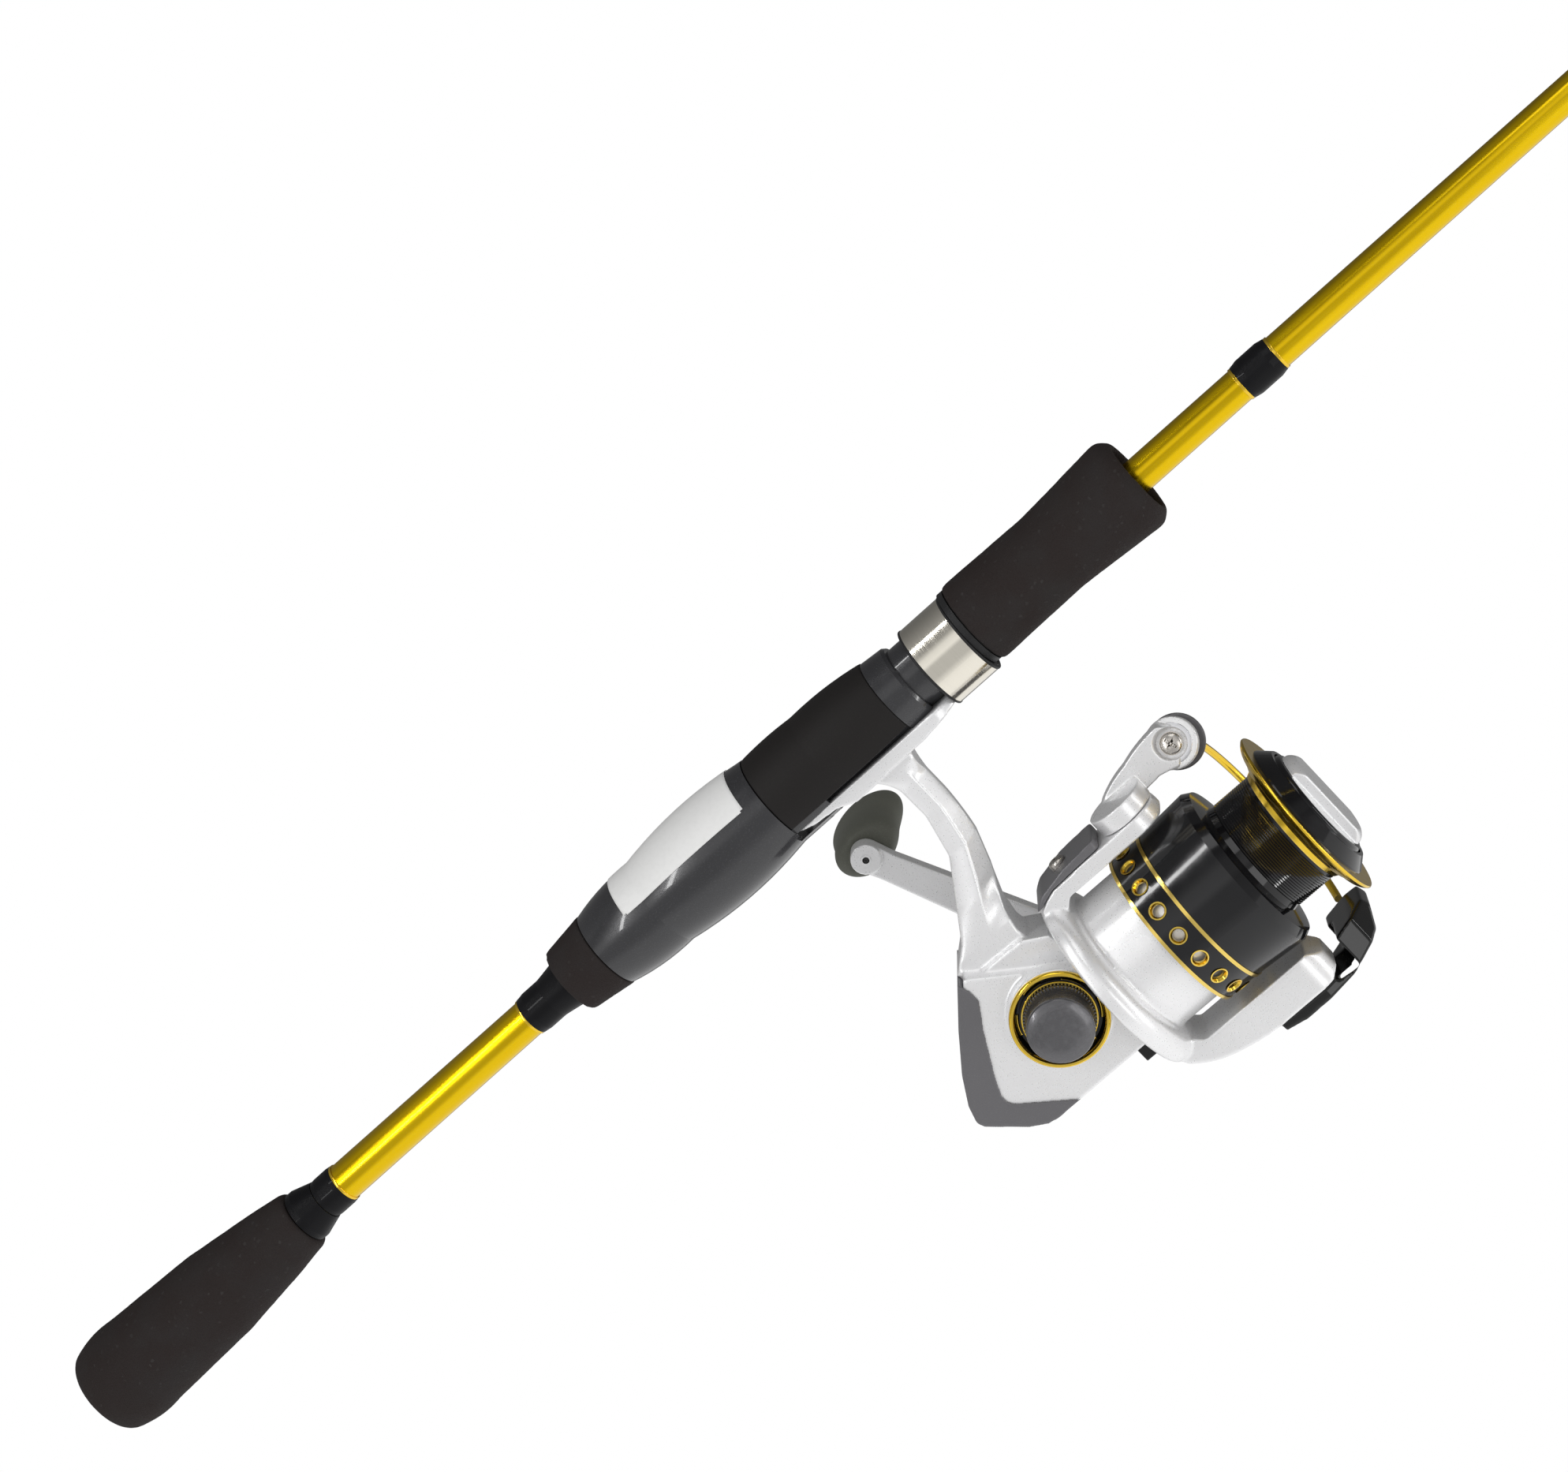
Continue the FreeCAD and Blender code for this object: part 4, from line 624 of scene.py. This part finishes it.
def stem_shape(co):
    """Give the stem a ridge: its side faces fall away to a narrow front edge."""
    x, z = co.x / MM, co.z / MM
    edges = along_table(STEM, z)
    if edges is None:
        return co
    rear, front = edges
    share = (x - rear) / (front - rear)
    if share < -0.15 or share > 1.2:
        return co
    ridge = 0.60
    if share > ridge:
        narrow = 0.72 * min(1.0, (share - ridge) / (1 - ridge))
    else:
        narrow = 0.30 * min(1.0, (ridge - share) / ridge) ** 1.6
    fade = min(1.0, (-14 - z) / 5, (z + 59) / 10)
    return Vector((co.x, co.y * (1 - narrow * max(0.0, fade)), co.z))


def blacken(piece, test):
    """Turn black the faces that pass a test of their place along the shaft and distance from it."""
    piece.data.materials.append(MATS["spool_black"])
    for face in piece.data.polygons:
        place = face.center / MM
        if test(place.x, math.hypot(place.y, place.z - SHAFT_Z / MM)):
            face.material_index = 1


def castings():
    cast("reel_body", 0.42, 5, stem_shape)
    cast("rotor", 0.40, 5)
    cast("bail_lever", 0.28, 7)
    cast("bail_holder", 0.30, 30)
    cast("handle_arm", 0.30, 6)
    cast("rear_guard", 0.40, 4)
    cast("arm_cover", 0.28, 6)
    cast("side_cover", 0.40, 3)
    cast("anti_reverse_lever", 0.25, 4)
    cast("handle_knob", 0.40, 8)
    knob = cast("drag_knob", 0.22, 5)
    blacken(knob, lambda x, radius: x < DIAL_EDGE or (x < DIAL_FACE and radius > 13.5))
    lip = with_modifiers(NODES["spool_lip"].data, "lip_two_tone", [])
    settle(lip, BODY_OF["spool_lip"], MATS["gold_trim"], smooth=False)
    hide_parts("spool_lip")
    blacken(lip, lambda x, radius: x > LIP_FRONT and radius < 19.3)
    mount = cast("wire_mount", 0.22, 5)
    mount.data.materials[0] = MATS["guard_grey"]


def foams():
    foam_piece("butt_grip")
    foam_piece("foregrip")
    foam_piece("rear_grip", 0.6)
    foam_piece("seat_pad", 0.35, 0.03)


# Small parts and trim ----------------------------------------------------------------------------

def cross_screw(name, radius, height, placement, body):
    """A domed screw head with a cross recess; the placement's X axis points out of the head."""
    recess_depth = height * 0.55 + 0.3
    dome = [(0, 0.01)] + [(0, radius)] + [
        (height * math.sin(math.pi / 2 * i / 8), radius * math.cos(math.pi / 2 * i / 8) ** 0.8)
        for i in range(1, 8)] + [(height, 0.01)]
    bm = bmesh.new()
    lathe(bm, dome, placement, 72, closed=False)
    head = from_bmesh(bm, name)
    tool_mesh = bmesh.new()
    for turn in (0, 90):
        spin = placement @ Matrix.Rotation(math.radians(turn + 20), 4, "X")
        block(tool_mesh, (height, 0, 0), (recess_depth, radius * 0.56, radius * 0.11), spin)
    tool = from_bmesh(tool_mesh, name + "_tool")
    recess = head.modifiers.new("cross", "BOOLEAN")
    recess.operation = "DIFFERENCE"
    recess.solver = "EXACT"
    recess.use_self = True
    recess.object = tool
    graph = bpy.context.evaluated_depsgraph_get()
    mesh = bpy.data.meshes.new_from_object(head.evaluated_get(graph))
    bpy.data.objects.remove(head, do_unlink=True)
    bpy.data.objects.remove(tool, do_unlink=True)
    piece = bpy.data.objects.new(name, mesh)
    bpy.context.scene.collection.objects.link(piece)
    mesh.shade_smooth()
    mesh.set_sharp_from_angle(angle=math.radians(40))
    return settle(piece, body, MATS["screw_steel"], smooth=False)


def ring_piece(name, rings, placement, body, slot):
    """One object of rounded rings: (start, end, inner radius, outer radius, rounding)."""
    bm = bmesh.new()
    for start, end, inner, outer, round_by in rings:
        rounded_ring(bm, start, end, inner, outer, round_by, placement, 120)
    piece = from_bmesh(bm, name)
    piece.data.shade_smooth()
    piece.data.set_sharp_from_angle(angle=math.radians(50))
    return settle(piece, body, MATS[slot], smooth=False)


def cap_details():
    """Knurl round the screw cap, and the lit slots and rims of the dish it sits in."""
    bm = bmesh.new()
    teeth = 64
    for step in range(teeth):
        spin = CRANK @ Matrix.Rotation(2 * math.pi * step / teeth, 4, "X")
        block(bm, (-18.0, 8.55, 0), (1.35, 0.32, 0.20), spin, 0.1)
    settle(from_bmesh(bm, "cap_knurl"), "handle", MATS["cap_grey"])
    ring_piece("cap_rims", [(-17.3, -16.8, 8.9, 9.3, 0.12)], CRANK, "root", "gold_trim")
    bm = bmesh.new()
    for step in range(6):
        start = 14 + step * 60
        rounded_ring(bm, -15.85, -15.3, 9.75, 10.35, 0.12, CRANK, 14, (start, start + 30))
    settle(from_bmesh(bm, "dish_slots"), "root", MATS["gold_trim"])


def bail_details():
    """Cross-head screws, the brushed washer face of the lever and the rim of its end."""
    face = frame_on(-ROLLER_AXIS, ROLLER)
    cross_screw("roller_screw_head", 2.75, 1.0, face @ Matrix.Translation((0.25 * MM, 0, 0)), "bail")
    ring_piece("lever_ring", [(-0.35, 0.16, 4.05, 5.1, 0.15)], face, "bail", "roller_steel")
    arm_at = Vector((0.009, 0, SHAFT_Z + 0.0312))
    cross_screw("arm_screw_head", 2.05, 0.85, frame_on((0, 0, 1), arm_at), "rotor")


def drag_details():
    """The black ring round the drag knob's silver face."""
    ring_piece("drag_ring", [(57.0, DIAL_EDGE, 12.4, 15.2, 1.5)], SHAFT, "drag_knob", "spool_black")


def hood_details():
    """Black rolled rims at the hood's two ends."""
    centre = frame_on((1, 0, 0), Vector((0, 0, -0.0011)))
    ring_piece("hood_rims", [(19.35, 20.05, 10.3, 11.25, 0.25), (31.6, 32.3, 10.3, 11.2, 0.25)], centre,
               "hood", "nut_plastic")


def seat_details():
    """The plain paper label stuck round the near side of the barrel."""
    barrel = BVHTree.FromObject(NODES["reel_seat"], bpy.context.evaluated_depsgraph_get())
    rows, columns = 48, 40
    start, end = -74.0, -34.5
    bm = bmesh.new()
    grid = []
    for row in range(rows + 1):
        line = []
        x = (start + (end - start) * row / rows) * MM
        for column in range(columns + 1):
            angle = math.radians(114 + 84 * column / columns)
            out = Vector((0, -math.sin(angle), -math.cos(angle)))
            hit, _, _, _ = barrel.ray_cast(Vector((x, 0, 0)) + out * 0.03, -out)
            line.append(bm.verts.new(hit + out * 0.00014))
        grid.append(line)
    for row in range(rows):
        for column in range(columns):
            if row in (0, rows - 1) and column in (0, columns - 1):
                continue
            bm.faces.new((grid[row][column], grid[row + 1][column],
                          grid[row + 1][column + 1], grid[row][column + 1]))
    sheet = from_bmesh(bm, "label_sheet")
    label = with_modifiers(sheet.data, "seat_label", [("SOLIDIFY", {"thickness": 0.0001, "offset": 0.0})])
    bpy.data.objects.remove(sheet, do_unlink=True)
    settle(label, "root", label_paper())


def label_paper():
    """Plain white adhesive label: coated paper with a faint fibre."""
    paper = Finish("label_paper", (0.86, 0.86, 0.85))
    paper.tint(paper.ranged(paper.noise(900, 4), 0.45, 0.7, 0.0, 0.3), (0.78, 0.78, 0.77))
    paper.roughen(paper.noise(600), 0.3, 0.7, 0.4, 0.55)
    paper.bump(paper.noise(1500, 2), 0.00002, 0.4)
    return paper.done()


def wrap_trim():
    """Fine gold lines where the black thread meets the blank."""
    lines = [(-177.5, -176.8, 4.9, 5.28, 0.1), (-112.7, -112.0, 4.7, 5.1, 0.1),
             (118.2, 119.0, 4.15, 4.5, 0.1), (129.0, 129.8, 4.1, 4.48, 0.1)]
    ring_piece("wrap_lines", lines, ROD, "root", "gold_trim")


def handle_details():
    """The pin hole in the arm's end boss, with a black disc inside it as painted shade for the hole's dark depth.
    """
    lean = frame_on((0, -1, 0), Vector((KNOB_AT.x, 0.0415, KNOB_AT.z)))
    ring_piece("boss_hole", [(0.0, 0.45, 0.9, 1.35, 0.12)], lean, "handle", "handle_silver")
    # A thin black disc set in the hole: painted shade standing for the dark inside of the hole.
    bm = bmesh.new()
    lathe(bm, [(0.0, 0.01), (0.0, 0.95), (0.22, 0.95), (0.22, 0.01)], lean, 32)
    settle(from_bmesh(bm, "boss_hole_painted_shade"), "handle", MATS["black_plastic"])


def paint_frame(mats):
    for name, obj in NODES.items():
        mat = mats[SLOT_OF[name]]
        if obj.data.materials:
            for index in range(len(obj.data.materials)):
                obj.data.materials[index] = mat
        else:
            obj.data.materials.append(mat)


right, up, back = camera()
studio(right, up, back)
floor()
MATS = finishes()
paint_frame(MATS)
castings()
foams()
cap_details()
bail_details()
drag_details()
hood_details()
seat_details()
wrap_trim()
handle_details()
